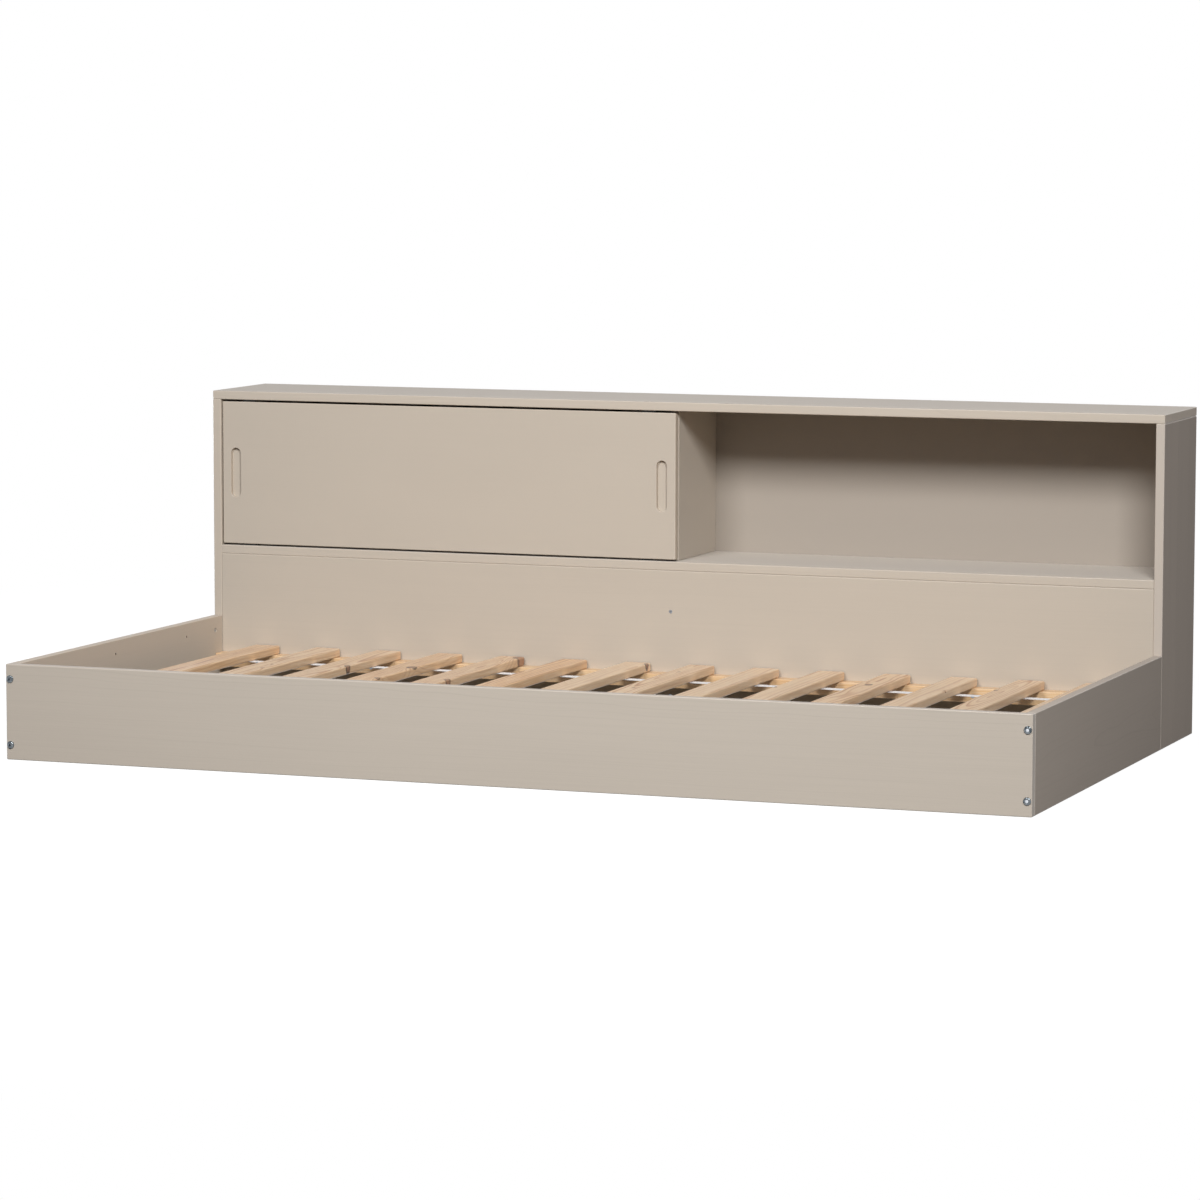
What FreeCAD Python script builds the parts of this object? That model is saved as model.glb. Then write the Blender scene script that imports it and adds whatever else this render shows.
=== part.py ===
import FreeCAD, Part
import math
import os
import re

import Sketcher

# A low daybed of painted pine boards. A storage cabinet with a sliding door stands along its
# back, and fourteen pine slats on two battens carry the mattress.
# X runs along the bed, Y from the open front towards the cabinet, Z up. The origin lies on the
# floor, in the middle of the whole object's length and depth.

SLAT_COUNT = 14
LEDGER_SCREW_COUNT = 8
PANEL_DOWEL_COUNT = 4
BACK_SCREW_COUNT = 6

# Driving dimensions, in millimetres.
SIZES = {
    # Boards of the bed frame
    "bed_length": 2050,
    "side_board_length": 918,
    "bed_board_thickness": 18,
    "bed_board_height": 186,
    "edge_round": 2,
    # Cabinet
    "cabinet_depth": 260,
    "cabinet_height": 660,
    "panel_thickness": 18,
    "shelf_height": 335,
    "back_panel_thickness": 9,
    "rebate_depth": 9,
    "rebate_gap": 0.5,
    # Sliding door and its running gaps
    "door_thickness": 16,
    "door_setback": 5,
    "door_back_gap": 3,
    "door_side_gap": 2,
    "door_lap_gap": 1,
    "door_top_gap": 4.5,
    "door_bottom_gap": 3.5,
    "pull_width": 22,
    "pull_height": 104,
    "pull_depth": 8,
    "pull_inset": 30,
    "pull_rim_round": 1,
    # Grooves for the door, and the nylon pieces that run in them
    "groove_width": 5,
    "shelf_groove_depth": 3,
    "top_groove_depth": 10,
    "glide_length": 30,
    "glide_body_width": 8,
    "glide_body_height": 12,
    "glide_inset": 60,
    "glide_side_gap": 0.2,
    "glide_rest_gap": 0.3,
    "guide_top_gap": 3,
    # Slatted base
    "ledger_depth": 34,
    "ledger_height": 28,
    "ledger_top_height": 109,
    "ledger_end_gap": 0.5,
    "ledger_edge_round": 1,
    "slat_width": 56,
    "slat_thickness": 18,
    "slat_edge_round": 3.5,
    "slat_end_gap": 6,
    "first_slat_gap": 79,
    "tape_width": 25,
    "tape_thickness": 1,
    "tape_inset": 132,
    "tape_end_inset": 8,
    "staple_length": 12,
    "staple_leg": 7,
    "staple_wire": 1,
    # Bolts, studs and barrel nuts that join the bed frame
    "bolt_diameter": 6,
    "bolt_head_diameter": 15,
    "bolt_head_height": 3,
    "bolt_head_round": 2.4,
    "bolt_socket_radius": 2.3,
    "bolt_socket_depth": 2.2,
    "bolt_edge_inset": 29,
    "bolt_reach": 9,
    "bolt_gap": 0.25,
    "stud_bite": 40,
    "barrel_diameter": 10,
    "barrel_length": 13,
    "barrel_distance": 33,
    "barrel_slot": 1.5,
    # Rows of small holes for a guard rail on the inner faces of the side boards
    "rail_hole_diameter": 5,
    "rail_hole_depth": 10,
    "rail_hole_inset": 172,
    "rail_hole_spacing": 328,
    "rail_hole_drop": 28,
    # Wood screws
    "ledger_screw_diameter": 4,
    "ledger_screw_head": 7.5,
    "ledger_screw_bite": 11,
    "ledger_screw_inset": 96,
    "ledger_screw_rise": 12.5,
    "panel_screw_diameter": 4,
    "panel_screw_head": 7.6,
    "panel_screw_bite": 25,
    "panel_screw_drop": 84,
    "panel_screw_rise": 60,
    "divider_screw_inset": 60,
    "back_screw_diameter": 3.5,
    "back_screw_head": 7,
    "back_screw_bite": 16,
    "back_screw_inset": 90,
    "driver_cross_width": 0.9,
    "driver_cross_length": 3.6,
    "driver_cross_depth": 1.2,
    # Dowels and cam fittings inside the cabinet's joints
    "dowel_diameter": 8,
    "dowel_face_bite": 11,
    "dowel_edge_bite": 19,
    "dowel_inset": 35,
    "dowel_chamfer": 1,
    "panel_dowel_inset": 60,
    "panel_dowel_run": 1650,
    "fitting_step": 32,
    "cam_diameter": 15,
    "cam_height": 12.5,
    "cam_distance": 34,
    "cam_sink": 0.2,
    "cam_mouth_diameter": 8,
    "cam_slot_width": 2,
    "cam_bolt_diameter": 6,
    "cam_bolt_bite": 10.5,
    "cam_bolt_head": 7,
    "cam_bolt_neck": 4,
    "cam_bolt_neck_length": 3,
    # Clearances that every fitting shares
    "thread_gap": 0.05,
    "bore_end_gap": 0.5,
    "bore_run_out": 3,
    # How far a cutting shape runs past the face that it cuts
    "overrun": 1,
}

# Places and lengths that follow from the driving dimensions.
DERIVED = {
    "overall_depth": "bed_board_thickness + side_board_length + cabinet_depth",
    "front_plane": "(bolt_head_height - overall_depth) / 2",
    "side_start": "front_plane + bed_board_thickness",
    "cabinet_plane": "side_start + side_board_length",
    "half_length": "bed_length / 2",
    "half_bed_clear": "half_length - bed_board_thickness",
    "half_clear": "half_length - panel_thickness",
    "panel_middle": "panel_thickness / 2",
    "top_underside": "cabinet_height - panel_thickness",
    "shelf_underside": "shelf_height - panel_thickness",
    "shelf_middle": "shelf_height - panel_middle",
    "shelf_depth": "cabinet_depth - back_panel_thickness",
    "opening_height": "top_underside - shelf_height",
    # Bed frame joints
    "bolt_axis": "bed_board_thickness / 2",
    "upper_bolt_height": "bed_board_height - bolt_edge_inset",
    "bolt_bore": "bolt_diameter + 2 * bolt_gap",
    "thread_bore": "bolt_diameter + 2 * thread_gap",
    "bolt_length": "bed_board_thickness + barrel_distance + bolt_reach",
    "stud_length": "stud_bite + barrel_distance + bolt_reach",
    "end_bore_depth": "barrel_distance + bolt_reach + bore_run_out",
    "barrel_bore": "barrel_diameter + 2 * thread_gap",
    "rail_hole_height": "bed_board_height - rail_hole_drop",
    "rail_hole_near": "side_board_length - rail_hole_inset",
    # Sliding door
    "door_width": "half_clear + panel_middle - door_side_gap - door_lap_gap",
    "door_height": "opening_height - door_bottom_gap - door_top_gap",
    "door_left": "door_side_gap - half_clear",
    "door_plane": "cabinet_plane + door_setback",
    "groove_middle": "door_setback + door_thickness / 2",
    "groove_front": "groove_middle - groove_width / 2",
    "divider_setback": "door_setback + door_thickness + door_back_gap",
    "divider_depth": "shelf_depth - divider_setback",
    "rib_width": "groove_width - 2 * glide_side_gap",
    "glide_rib": "door_bottom_gap + shelf_groove_depth - glide_rest_gap",
    "guide_rib": "door_top_gap + top_groove_depth - guide_top_gap",
    "pull_radius": "pull_width / 2",
    # Slatted base
    "ledger_bottom": "ledger_top_height - ledger_height",
    "ledger_screw_height": "ledger_bottom + ledger_screw_rise",
    "ledger_length": "2 * (half_bed_clear - ledger_end_gap)",
    "ledger_screw_run": "ledger_length - 2 * ledger_screw_inset",
    "slat_length": "side_board_length - 2 * slat_end_gap",
    "slat_start": "side_start + slat_end_gap",
    "slat_run": "2 * (half_bed_clear - first_slat_gap) - slat_width",
    "tape_underside": "ledger_top_height - tape_thickness",
    "tape_length": "slat_run + slat_width - 2 * tape_end_inset",
    "tape_front_middle": "tape_inset",
    "tape_back_middle": "slat_length - tape_inset",
    "staple_leg_place": "(staple_length - staple_wire) / 2",
    # Cabinet joints
    "rear_dowel": "cabinet_depth - dowel_inset",
    "front_cam": "dowel_inset + fitting_step",
    "rear_cam": "rear_dowel - fitting_step",
    "low_dowel": "panel_dowel_inset",
    "low_cam": "panel_dowel_inset + fitting_step",
    "high_dowel": "shelf_underside - panel_dowel_inset",
    "high_cam": "high_dowel - fitting_step",
    "inner_rear_dowel": "shelf_depth - dowel_inset",
    "upright_front_dowel": "panel_thickness + dowel_inset",
    "divider_front_dowel": "divider_setback + dowel_inset",
    "divider_front_screw": "divider_setback + divider_screw_inset",
    "divider_rear_screw": "shelf_depth - divider_screw_inset",
    "panel_screw_high": "shelf_underside - panel_screw_drop",
    "panel_screw_length": "panel_thickness + panel_screw_bite",
    "dowel_bore": "dowel_diameter + 2 * thread_gap",
    "face_bore_depth": "dowel_face_bite + bore_end_gap",
    "edge_bore_depth": "dowel_edge_bite + bore_end_gap",
    "cam_bore": "cam_diameter + 2 * thread_gap",
    "cam_bore_depth": "cam_height + 2 * cam_sink",
    "cam_mouth_depth": "cam_distance + cam_bolt_head / 2 + bore_end_gap",
    "cam_pilot": "cam_bolt_diameter + 2 * thread_gap",
    "cam_pilot_depth": "cam_bolt_bite + bore_end_gap",
    "ledger_screw_bore": "ledger_screw_diameter + 2 * thread_gap",
    "panel_screw_bore": "panel_screw_diameter + 2 * thread_gap",
    "back_screw_bore": "back_screw_diameter + 2 * thread_gap",
    "back_screw_depth": "back_screw_bite + bore_end_gap",
    "back_screw_run": "2 * (half_clear - back_screw_inset)",
    "rebate_middle": "rebate_depth / 2",
}

# Two lengths that agree this well are taken as the same when edges are picked out.
CLOSE = 0.01

doc = FreeCAD.newDocument("Daybed")
sheet = doc.addObject("Spreadsheet::Sheet", "Sizes")
for row, (alias, size) in enumerate(SIZES.items(), start=1):
    sheet.set("A%d" % row, alias)
    sheet.set("B%d" % row, str(size))
    sheet.setAlias("B%d" % row, alias)
doc.recompute()

# The nodes that are written out, in the order in which they are made.
pieces = []


def formula(text):
    """Return text with every size name turned into its cell, derived names worked out first."""
    def expand(match):
        word = match.group(0)
        if word in DERIVED:
            return "(" + formula(DERIVED[word]) + ")"
        if word in SIZES:
            return "Sizes." + word
        return word
    return re.sub(r"[a-z_]+", expand, text)


def value(text):
    """Return the present value of a formula as a number."""
    return float(sheet.evalExpression(formula(text)))


def bind(thing, prop, text):
    """Tie a property to a formula."""
    thing.setExpression(prop, formula(text))


def place(thing, x="0", y="0", z="0"):
    """Tie the three coordinates of an object's place to formulas."""
    bind(thing, "Placement.Base.x", x)
    bind(thing, "Placement.Base.y", y)
    bind(thing, "Placement.Base.z", z)


def signed(side, text):
    """Return a formula on the right for a side of 1 and on the left for a side of -1."""
    return "%d * (%s)" % (side, text)


def spaced(count, run):
    """Return formulas for evenly spaced places over a run that is centred on zero."""
    return ["(%s) * (%d / %d - 1 / 2)" % (run, number, count - 1) for number in range(count)]


SIDES = (-1, 1)

# Modelling helpers. The normal of a plane points up its axis, but that of XZ points to -Y.
NORMAL_SIGN = {"XY": 1, "XZ": -1, "YZ": 1}


def new_body(label, x="0", y="0", z="0"):
    """Start a body at a place."""
    body = doc.addObject("PartDesign::Body", label)
    body.Label = label
    place(body, x, y, z)
    return body


def origin_feature(body, role):
    """Return one of the body's own planes or axes."""
    return [feature for feature in body.Origin.OriginFeatures if feature.Role == role][0]


def new_sketch(body, name, plane, level="0"):
    """Put an empty sketch on one of the body's own planes, moved along that plane's axis."""
    sketch = body.newObject("Sketcher::SketchObject", name)
    sketch.AttachmentSupport = [(origin_feature(body, plane + "_Plane"), "")]
    sketch.MapMode = "FlatFace"
    bind(sketch, "AttachmentOffset.Base.z", signed(NORMAL_SIGN[plane], level))
    return sketch


def hold(sketch, kind, text, *where):
    """Add a measured constraint to a sketch and tie it to a formula."""
    index = sketch.addConstraint(Sketcher.Constraint(kind, *where, value(text)))
    name = "size%d" % index
    sketch.renameConstraint(index, name)
    bind(sketch, "Constraints." + name, text)


def hold_point(sketch, geometry, point, across, along):
    """Hold a point of a sketch at two formulas, measured from the sketch's origin."""
    for kind, text, axis in (("DistanceX", across, -2), ("DistanceY", along, -1)):
        if text == "0":
            sketch.addConstraint(Sketcher.Constraint("PointOnObject", geometry, point, axis))
        else:
            hold(sketch, kind, text, -1, 1, geometry, point)


def draw_outline(sketch, corners):
    """Draw a closed outline of straight lines through corners given as pairs of formulas."""
    first = sketch.GeometryCount
    count = len(corners)
    points = [FreeCAD.Vector(value(across), value(along), 0) for across, along in corners]
    for number in range(count):
        line = Part.LineSegment(points[number], points[(number + 1) % count])
        sketch.addGeometry(line, False)
    for number in range(count):
        following = first + (number + 1) % count
        sketch.addConstraint(Sketcher.Constraint("Coincident", first + number, 2, following, 1))
    for number, (across, along) in enumerate(corners):
        hold_point(sketch, first + number, 1, across, along)


def draw_slot(sketch, centre, middle, radius, length):
    """Draw an upright slot with round ends about a centre."""
    x = value(centre)
    half_straight = "(%s) / 2 - (%s)" % (length, radius)
    high = value(middle) + value(half_straight)
    low = value(middle) - value(half_straight)
    size = value(radius)
    first = sketch.GeometryCount
    up = FreeCAD.Vector(0, 0, 1)
    top = Part.ArcOfCircle(Part.Circle(FreeCAD.Vector(x, high, 0), up, size), 0, math.pi)
    bottom = Part.ArcOfCircle(
        Part.Circle(FreeCAD.Vector(x, low, 0), up, size), math.pi, 2 * math.pi)
    left = Part.LineSegment(FreeCAD.Vector(x - size, high, 0), FreeCAD.Vector(x - size, low, 0))
    right = Part.LineSegment(FreeCAD.Vector(x + size, low, 0), FreeCAD.Vector(x + size, high, 0))
    sketch.addGeometry([top, left, bottom, right], False)
    for number in range(4):
        following = first + (number + 1) % 4
        sketch.addConstraint(Sketcher.Constraint("Tangent", first + number, 2, following, 1))
    hold_point(sketch, first, 3, centre, "%s + %s" % (middle, half_straight))
    hold_point(sketch, first + 2, 3, centre, "%s - (%s)" % (middle, half_straight))
    hold(sketch, "Radius", radius, first)


def rectangle(left, low, width, height):
    """Return the corners of a rectangle as formulas."""
    right = "%s + %s" % (left, width)
    high = "%s + %s" % (low, height)
    return [(left, low), (right, low), (right, high), (left, high)]


def centred(across, along, width, height):
    """Return the corners of a rectangle about its centre."""
    return rectangle("%s - (%s) / 2" % (across, width), "%s - (%s) / 2" % (along, height),
                     width, height)


def pad(body, sketch, length):
    """Raise a sketch along its plane's normal."""
    feature = body.newObject("PartDesign::Pad", "pad")
    feature.Profile = sketch
    bind(feature, "Length", length)
    doc.recompute()
    return feature


def pocket(body, sketch, plane, depth, toward, name):
    """Cut a sketch into the body, towards the plus or minus side of the plane's axis."""
    before = body.Shape.Volume
    feature = body.newObject("PartDesign::Pocket", name)
    feature.Profile = sketch
    feature.Reversed = toward == NORMAL_SIGN[plane]
    bind(feature, "Length", depth)
    doc.recompute()
    if not body.Shape.Volume < before:
        raise RuntimeError(body.Label + ": " + name + " cuts nothing")
    return feature


def cut_outlines(body, name, plane, level, toward, depth, outlines):
    """Cut one or more straight-sided outlines to one depth from a level."""
    sketch = new_sketch(body, name + "_sketch", plane, level)
    for corners in outlines:
        draw_outline(sketch, corners)
    return pocket(body, sketch, plane, depth, toward, name)


def cut_bores(body, name, plane, level, toward, depth, diameter, centres):
    """Cut round bores of one diameter and depth from a level."""
    sketch = new_sketch(body, name + "_sketch", plane, level)
    for across, along in centres:
        centre = FreeCAD.Vector(value(across), value(along), 0)
        circle = Part.Circle(centre, FreeCAD.Vector(0, 0, 1), value(diameter) / 2)
        index = sketch.addGeometry(circle, False)
        hold_point(sketch, index, 3, across, along)
        hold(sketch, "Diameter", diameter, index)
    return pocket(body, sketch, plane, depth, toward, name)


def finish_edges(body, kind, feature, edges, prop, size):
    """Add a fillet or a chamfer to the named edges of a feature."""
    dressing = body.newObject("PartDesign::" + kind, kind.lower())
    dressing.Base = (feature, edges)
    bind(dressing, prop, size)
    doc.recompute()
    return dressing


def all_edges(feature):
    """Name every edge of a feature."""
    return ["Edge%d" % number for number in range(1, len(feature.Shape.Edges) + 1)]


def mouth_edges(feature, axis, level, diameter):
    """Name the round edges of one diameter that lie at a level along an axis."""
    names = []
    for number, edge in enumerate(feature.Shape.Edges, start=1):
        if edge.Degenerated or not isinstance(edge.Curve, Part.Circle):
            continue
        curve = edge.Curve
        right_size = abs(2 * curve.Radius - value(diameter)) < CLOSE
        right_place = abs(getattr(curve.Center, axis) - value(level)) < CLOSE
        if right_size and right_place:
            names.append("Edge%d" % number)
    return names


def countersink(body, bores, axis, level, bore, diameter, head):
    """Widen the mouths of bores for the heads of countersunk screws."""
    edges = mouth_edges(bores, axis, level, bore)
    finish_edges(body, "Chamfer", bores, edges, "Size", "(%s - %s) / 2" % (head, diameter))


def new_board(label, left, width, depth, height, x="0", y="0", z="0", radius="edge_round"):
    """Make a board with eased edges. Left is the X of one end, and width may be negative."""
    body = new_body(label, x, y, z)
    sketch = new_sketch(body, "outline", "XY")
    draw_outline(sketch, rectangle(left, "0", width, depth))
    board = pad(body, sketch, height)
    finish_edges(body, "Fillet", board, all_edges(board), "Radius", radius)
    pieces.append(body)
    return body


# Fittings. Each is modelled once, pointing up its own Z axis, and placed as linked copies.
def turned(label, profile):
    """Turn an outline of pairs of radius and height about the Z axis."""
    body = new_body(label)
    sketch = new_sketch(body, "profile", "XZ")
    draw_outline(sketch, profile)
    turning = body.newObject("PartDesign::Revolution", "turning")
    turning.Profile = sketch
    turning.ReferenceAxis = (sketch, ["V_Axis"])
    turning.Angle = 360
    doc.recompute()
    return body


def aim(forward, across):
    """Return the rotation that turns +Z to one direction and +X to another."""
    return FreeCAD.Rotation(FreeCAD.Vector(*across), FreeCAD.Vector(),
                            FreeCAD.Vector(*forward), "ZXY")


def new_group(label, fitting, spots):
    """Place copies of a fitting. Each spot is three formulas and a rotation."""
    copies = []
    for number, (x, y, z, rotation) in enumerate(spots, start=1):
        copy = doc.addObject("App::Link", "%s_%02d" % (label, number))
        copy.LinkedObject = fitting
        copy.Placement = FreeCAD.Placement(FreeCAD.Vector(), rotation)
        place(copy, x, y, z)
        copies.append(copy)
    group = doc.addObject("Part::Compound", label)
    group.Label = label
    group.Links = copies
    pieces.append(group)
    return group


def wood_screw(label, diameter, head, length):
    """Make a countersunk screw with a cross recess, its head flush with the level zero."""
    shank = "%s / 2" % diameter
    screw = turned(label, [("0", "0"), ("%s / 2" % head, "0"),
                           (shank, "(%s - %s) / 2" % (head, diameter)),
                           (shank, "%s - %s" % (length, diameter)), ("0", length)])
    long_arm = "driver_cross_length / 2"
    short_arm = "driver_cross_width / 2"
    arms = [(long_arm, short_arm), (short_arm, short_arm), (short_arm, long_arm)]
    corners = []
    for across_sign, along_sign in ((1, 1), (-1, 1), (-1, -1), (1, -1)):
        turn = arms if across_sign * along_sign > 0 else arms[::-1]
        corners += [(signed(across_sign, across), signed(along_sign, along))
                    for across, along in turn]
    cut_outlines(screw, "driver_cross", "XY", "-1 * overrun", 1, "driver_cross_depth + overrun",
                 [corners])
    return screw


UP = (0, 0, 1)
DOWN = (0, 0, -1)
BACK = (0, 1, 0)
FRONT = (0, -1, 0)
RIGHT = (1, 0, 0)

bolt_heights = ["bolt_edge_inset", "upper_bolt_height"]
ledger_screw_places = spaced(LEDGER_SCREW_COUNT, "ledger_screw_run")
panel_dowel_places = spaced(PANEL_DOWEL_COUNT, "panel_dowel_run")
back_screw_places = spaced(BACK_SCREW_COUNT, "back_screw_run")

# Front board. It covers the ends of the side boards and takes two bolts at each end. The
# front ledger's screws bite into its back.
front_board = new_board("front_board", "-1 * half_length", "bed_length", "bed_board_thickness",
                        "bed_board_height", y="front_plane")
cut_bores(front_board, "bolt_holes", "XZ", "-1 * overrun", 1, "bed_board_thickness + 2 * overrun",
          "bolt_bore", [(signed(side, "half_length - bolt_axis"), height)
                        for side in SIDES for height in bolt_heights])
cut_bores(front_board, "ledger_screw_bores", "XZ", "bed_board_thickness + overrun", -1,
          "ledger_screw_bite + bore_end_gap + overrun", "ledger_screw_bore",
          [(across, "ledger_screw_height") for across in ledger_screw_places])

# Side boards. Their ends butt against the front board and the front edges of the cabinet's
# sides. Each starts at its outer face and at its front end.
for side, label in ((-1, "left_side_board"), (1, "right_side_board")):
    board = new_board(label, "0", signed(-side, "bed_board_thickness"), "side_board_length",
                      "bed_board_height", x=signed(side, "half_length"), y="side_start")
    inner_start = signed(-side, "bed_board_thickness + overrun")
    for end, level, toward, axis in (("front", "-1 * overrun", 1, "bolt_axis"),
                                     ("rear", "side_board_length + overrun", -1,
                                      "panel_middle")):
        cut_bores(board, end + "_bolt_bores", "XZ", level, toward, "end_bore_depth + overrun",
                  "bolt_bore", [(signed(-side, axis), height) for height in bolt_heights])
        nut = "barrel_distance" if end == "front" else "side_board_length - barrel_distance"
        nut_depth = "bed_board_thickness - %s + barrel_length / 2 + overrun" % axis
        cut_bores(board, end + "_barrel_bores", "YZ", inner_start, side, nut_depth,
                  "barrel_bore", [(nut, height) for height in bolt_heights])
    cut_bores(board, "rail_holes", "YZ", inner_start, side, "rail_hole_depth + overrun",
              "rail_hole_diameter", [("rail_hole_near", "rail_hole_height"),
                                     ("rail_hole_near - rail_hole_spacing",
                                      "rail_hole_height")])

# Cabinet sides. Each starts at its outer face and front edge. The thin back panel sits in a
# rebate along the rear inner edge.
for side, label in ((-1, "cabinet_left_side"), (1, "cabinet_right_side")):
    body = new_board(label, "0", signed(-side, "panel_thickness"), "cabinet_depth",
                     "top_underside", x=signed(side, "half_length"), y="cabinet_plane")
    inner_start = signed(-side, "panel_thickness + overrun")
    middle = signed(-side, "panel_middle")
    cut_outlines(body, "back_rebate", "YZ", inner_start, side, "rebate_depth + overrun",
                 [rectangle("shelf_depth", "-1 * overrun", "back_panel_thickness + overrun",
                            "top_underside + 2 * overrun")])
    cut_bores(body, "stud_bores", "XZ", "-1 * overrun", 1, "stud_bite + bore_end_gap + overrun",
              "thread_bore", [(middle, height) for height in bolt_heights])
    cut_bores(body, "top_dowel_bores", "XY", "top_underside + overrun", -1,
              "edge_bore_depth + overrun", "dowel_bore",
              [(middle, "dowel_inset"), (middle, "rear_dowel")])
    cut_bores(body, "top_cam_mouths", "XY", "top_underside + overrun", -1,
              "cam_mouth_depth + overrun", "cam_mouth_diameter",
              [(middle, "front_cam"), (middle, "rear_cam")])
    cut_bores(body, "top_cam_bores", "YZ", inner_start, side, "cam_bore_depth + overrun",
              "cam_bore", [("front_cam", "top_underside - cam_distance"),
                           ("rear_cam", "top_underside - cam_distance")])
    cut_bores(body, "face_dowel_bores", "YZ", inner_start, side, "face_bore_depth + overrun",
              "dowel_bore", [("dowel_inset", "shelf_middle"), ("rear_dowel", "shelf_middle"),
                             ("panel_middle", "low_dowel"), ("panel_middle", "high_dowel")])
    cut_bores(body, "cam_bolt_bores", "YZ", inner_start, side, "cam_pilot_depth + overrun",
              "cam_pilot", [("front_cam", "shelf_middle"), ("rear_cam", "shelf_middle"),
                            ("panel_middle", "low_cam"), ("panel_middle", "high_cam")])
    cut_bores(body, "back_screw_bore", "XZ", "shelf_depth + overrun", -1,
              "back_screw_depth + overrun", "back_screw_bore",
              [(signed(-side, "panel_thickness - rebate_middle"),
                "shelf_height + opening_height / 2")])

# Cabinet top. It lies over the sides and is grooved underneath for the door's guides.
top = new_board("cabinet_top", "-1 * half_length", "bed_length", "cabinet_depth",
                "panel_thickness", y="cabinet_plane", z="top_underside")
cut_outlines(top, "door_groove", "XY", "-1 * overrun", 1, "top_groove_depth + overrun",
             [rectangle("-1 * half_clear", "groove_front", "2 * half_clear", "groove_width")])
cut_outlines(top, "back_rebate", "XY", "-1 * overrun", 1, "rebate_depth + overrun",
             [rectangle("-1 * (half_clear + rebate_depth)", "shelf_depth",
                        "2 * (half_clear + rebate_depth)", "back_panel_thickness + overrun")])
cut_bores(top, "dowel_bores", "XY", "-1 * overrun", 1, "face_bore_depth + overrun", "dowel_bore",
          [(signed(side, "half_length - panel_middle"), along)
           for side in SIDES for along in ("dowel_inset", "rear_dowel")]
          + [("0", "divider_front_dowel"), ("0", "inner_rear_dowel")])
cut_bores(top, "cam_bolt_bores", "XY", "-1 * overrun", 1, "cam_pilot_depth + overrun",
          "cam_pilot", [(signed(side, "half_length - panel_middle"), along)
                        for side in SIDES for along in ("front_cam", "rear_cam")])
cut_bores(top, "back_screw_bores", "XZ", "shelf_depth + overrun", -1,
          "back_screw_depth + overrun", "back_screw_bore",
          [(across, "rebate_middle") for across in back_screw_places])

# Shelf. It is the floor of both compartments, and the door's glides run in its groove.
shelf = new_board("cabinet_shelf", "-1 * half_clear", "2 * half_clear", "shelf_depth",
                  "panel_thickness", y="cabinet_plane", z="shelf_underside")
cut_outlines(shelf, "door_groove", "XY", "panel_thickness + overrun", -1,
             "shelf_groove_depth + overrun",
             [rectangle("-1 * (half_clear + overrun)", "groove_front",
                        "2 * (half_clear + overrun)", "groove_width")])
for side, end in ((-1, "left"), (1, "right")):
    end_start = signed(side, "half_clear + overrun")
    cut_bores(shelf, end + "_dowel_bores", "YZ", end_start, -side, "edge_bore_depth + overrun",
              "dowel_bore", [("dowel_inset", "panel_middle"), ("rear_dowel", "panel_middle")])
    cut_bores(shelf, end + "_cam_mouths", "YZ", end_start, -side, "cam_mouth_depth + overrun",
              "cam_mouth_diameter", [("front_cam", "panel_middle"),
                                     ("rear_cam", "panel_middle")])
cut_bores(shelf, "cam_bores", "XY", "-1 * overrun", 1, "cam_bore_depth + overrun", "cam_bore",
          [(signed(side, "half_clear - cam_distance"), along)
           for side in SIDES for along in ("front_cam", "rear_cam")])
cut_bores(shelf, "under_dowel_bores", "XY", "-1 * overrun", 1, "face_bore_depth + overrun",
          "dowel_bore", [(across, "panel_middle") for across in panel_dowel_places]
          + [("0", "upright_front_dowel"), ("0", "inner_rear_dowel")])
cut_bores(shelf, "back_screw_bores", "XZ", "shelf_depth + overrun", -1,
          "back_screw_depth + overrun", "back_screw_bore",
          [(across, "panel_middle") for across in back_screw_places])
divider_screw_bores = cut_bores(
    shelf, "divider_screw_bores", "XY", "-1 * overrun", 1, "panel_thickness + 2 * overrun",
    "panel_screw_bore", [("0", "divider_front_screw"), ("0", "divider_rear_screw")])
countersink(shelf, divider_screw_bores, "z", "0", "panel_screw_bore", "panel_screw_diameter",
            "panel_screw_head")

# Divider between the compartments, set back so that the door passes in front of it.
divider = new_board("cabinet_divider", "-1 * panel_middle", "panel_thickness", "divider_depth",
                    "opening_height", y="cabinet_plane + divider_setback", z="shelf_height")
cut_bores(divider, "dowel_bores", "XY", "opening_height + overrun", -1,
          "edge_bore_depth + overrun", "dowel_bore",
          [("0", "dowel_inset"), ("0", "divider_depth - dowel_inset")])
cut_bores(divider, "screw_bores", "XY", "-1 * overrun", 1,
          "panel_screw_bite + bore_end_gap + overrun", "panel_screw_bore",
          [("0", "divider_screw_inset"), ("0", "divider_depth - divider_screw_inset")])
cut_bores(divider, "back_screw_bore", "XZ", "divider_depth + overrun", -1,
          "back_screw_depth + overrun", "back_screw_bore", [("0", "opening_height / 2")])

# Back panel of the compartments, let into the rebates and screwed on from behind.
back_height = "top_underside + rebate_depth - rebate_gap - shelf_underside"
back_half_width = "half_clear + rebate_depth - rebate_gap"
back_panel = new_body("cabinet_back_panel", y="cabinet_plane + shelf_depth", z="shelf_underside")
back_sketch = new_sketch(back_panel, "outline", "XY")
draw_outline(back_sketch, rectangle("-1 * (%s)" % back_half_width, "0",
                                    "2 * (%s)" % back_half_width, "back_panel_thickness"))
pad(back_panel, back_sketch, back_height)
pieces.append(back_panel)
back_holes = [(across, "panel_middle") for across in back_screw_places]
back_holes += [(across, "top_underside + rebate_middle - shelf_underside")
               for across in back_screw_places]
back_holes += [(across, "panel_thickness + opening_height / 2")
               for across in ("-1 * (half_clear + rebate_middle)", "0",
                              "half_clear + rebate_middle")]
back_bores = cut_bores(back_panel, "screw_holes", "XZ", "-1 * overrun", 1,
                       "back_panel_thickness + 2 * overrun", "back_screw_bore", back_holes)
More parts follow.
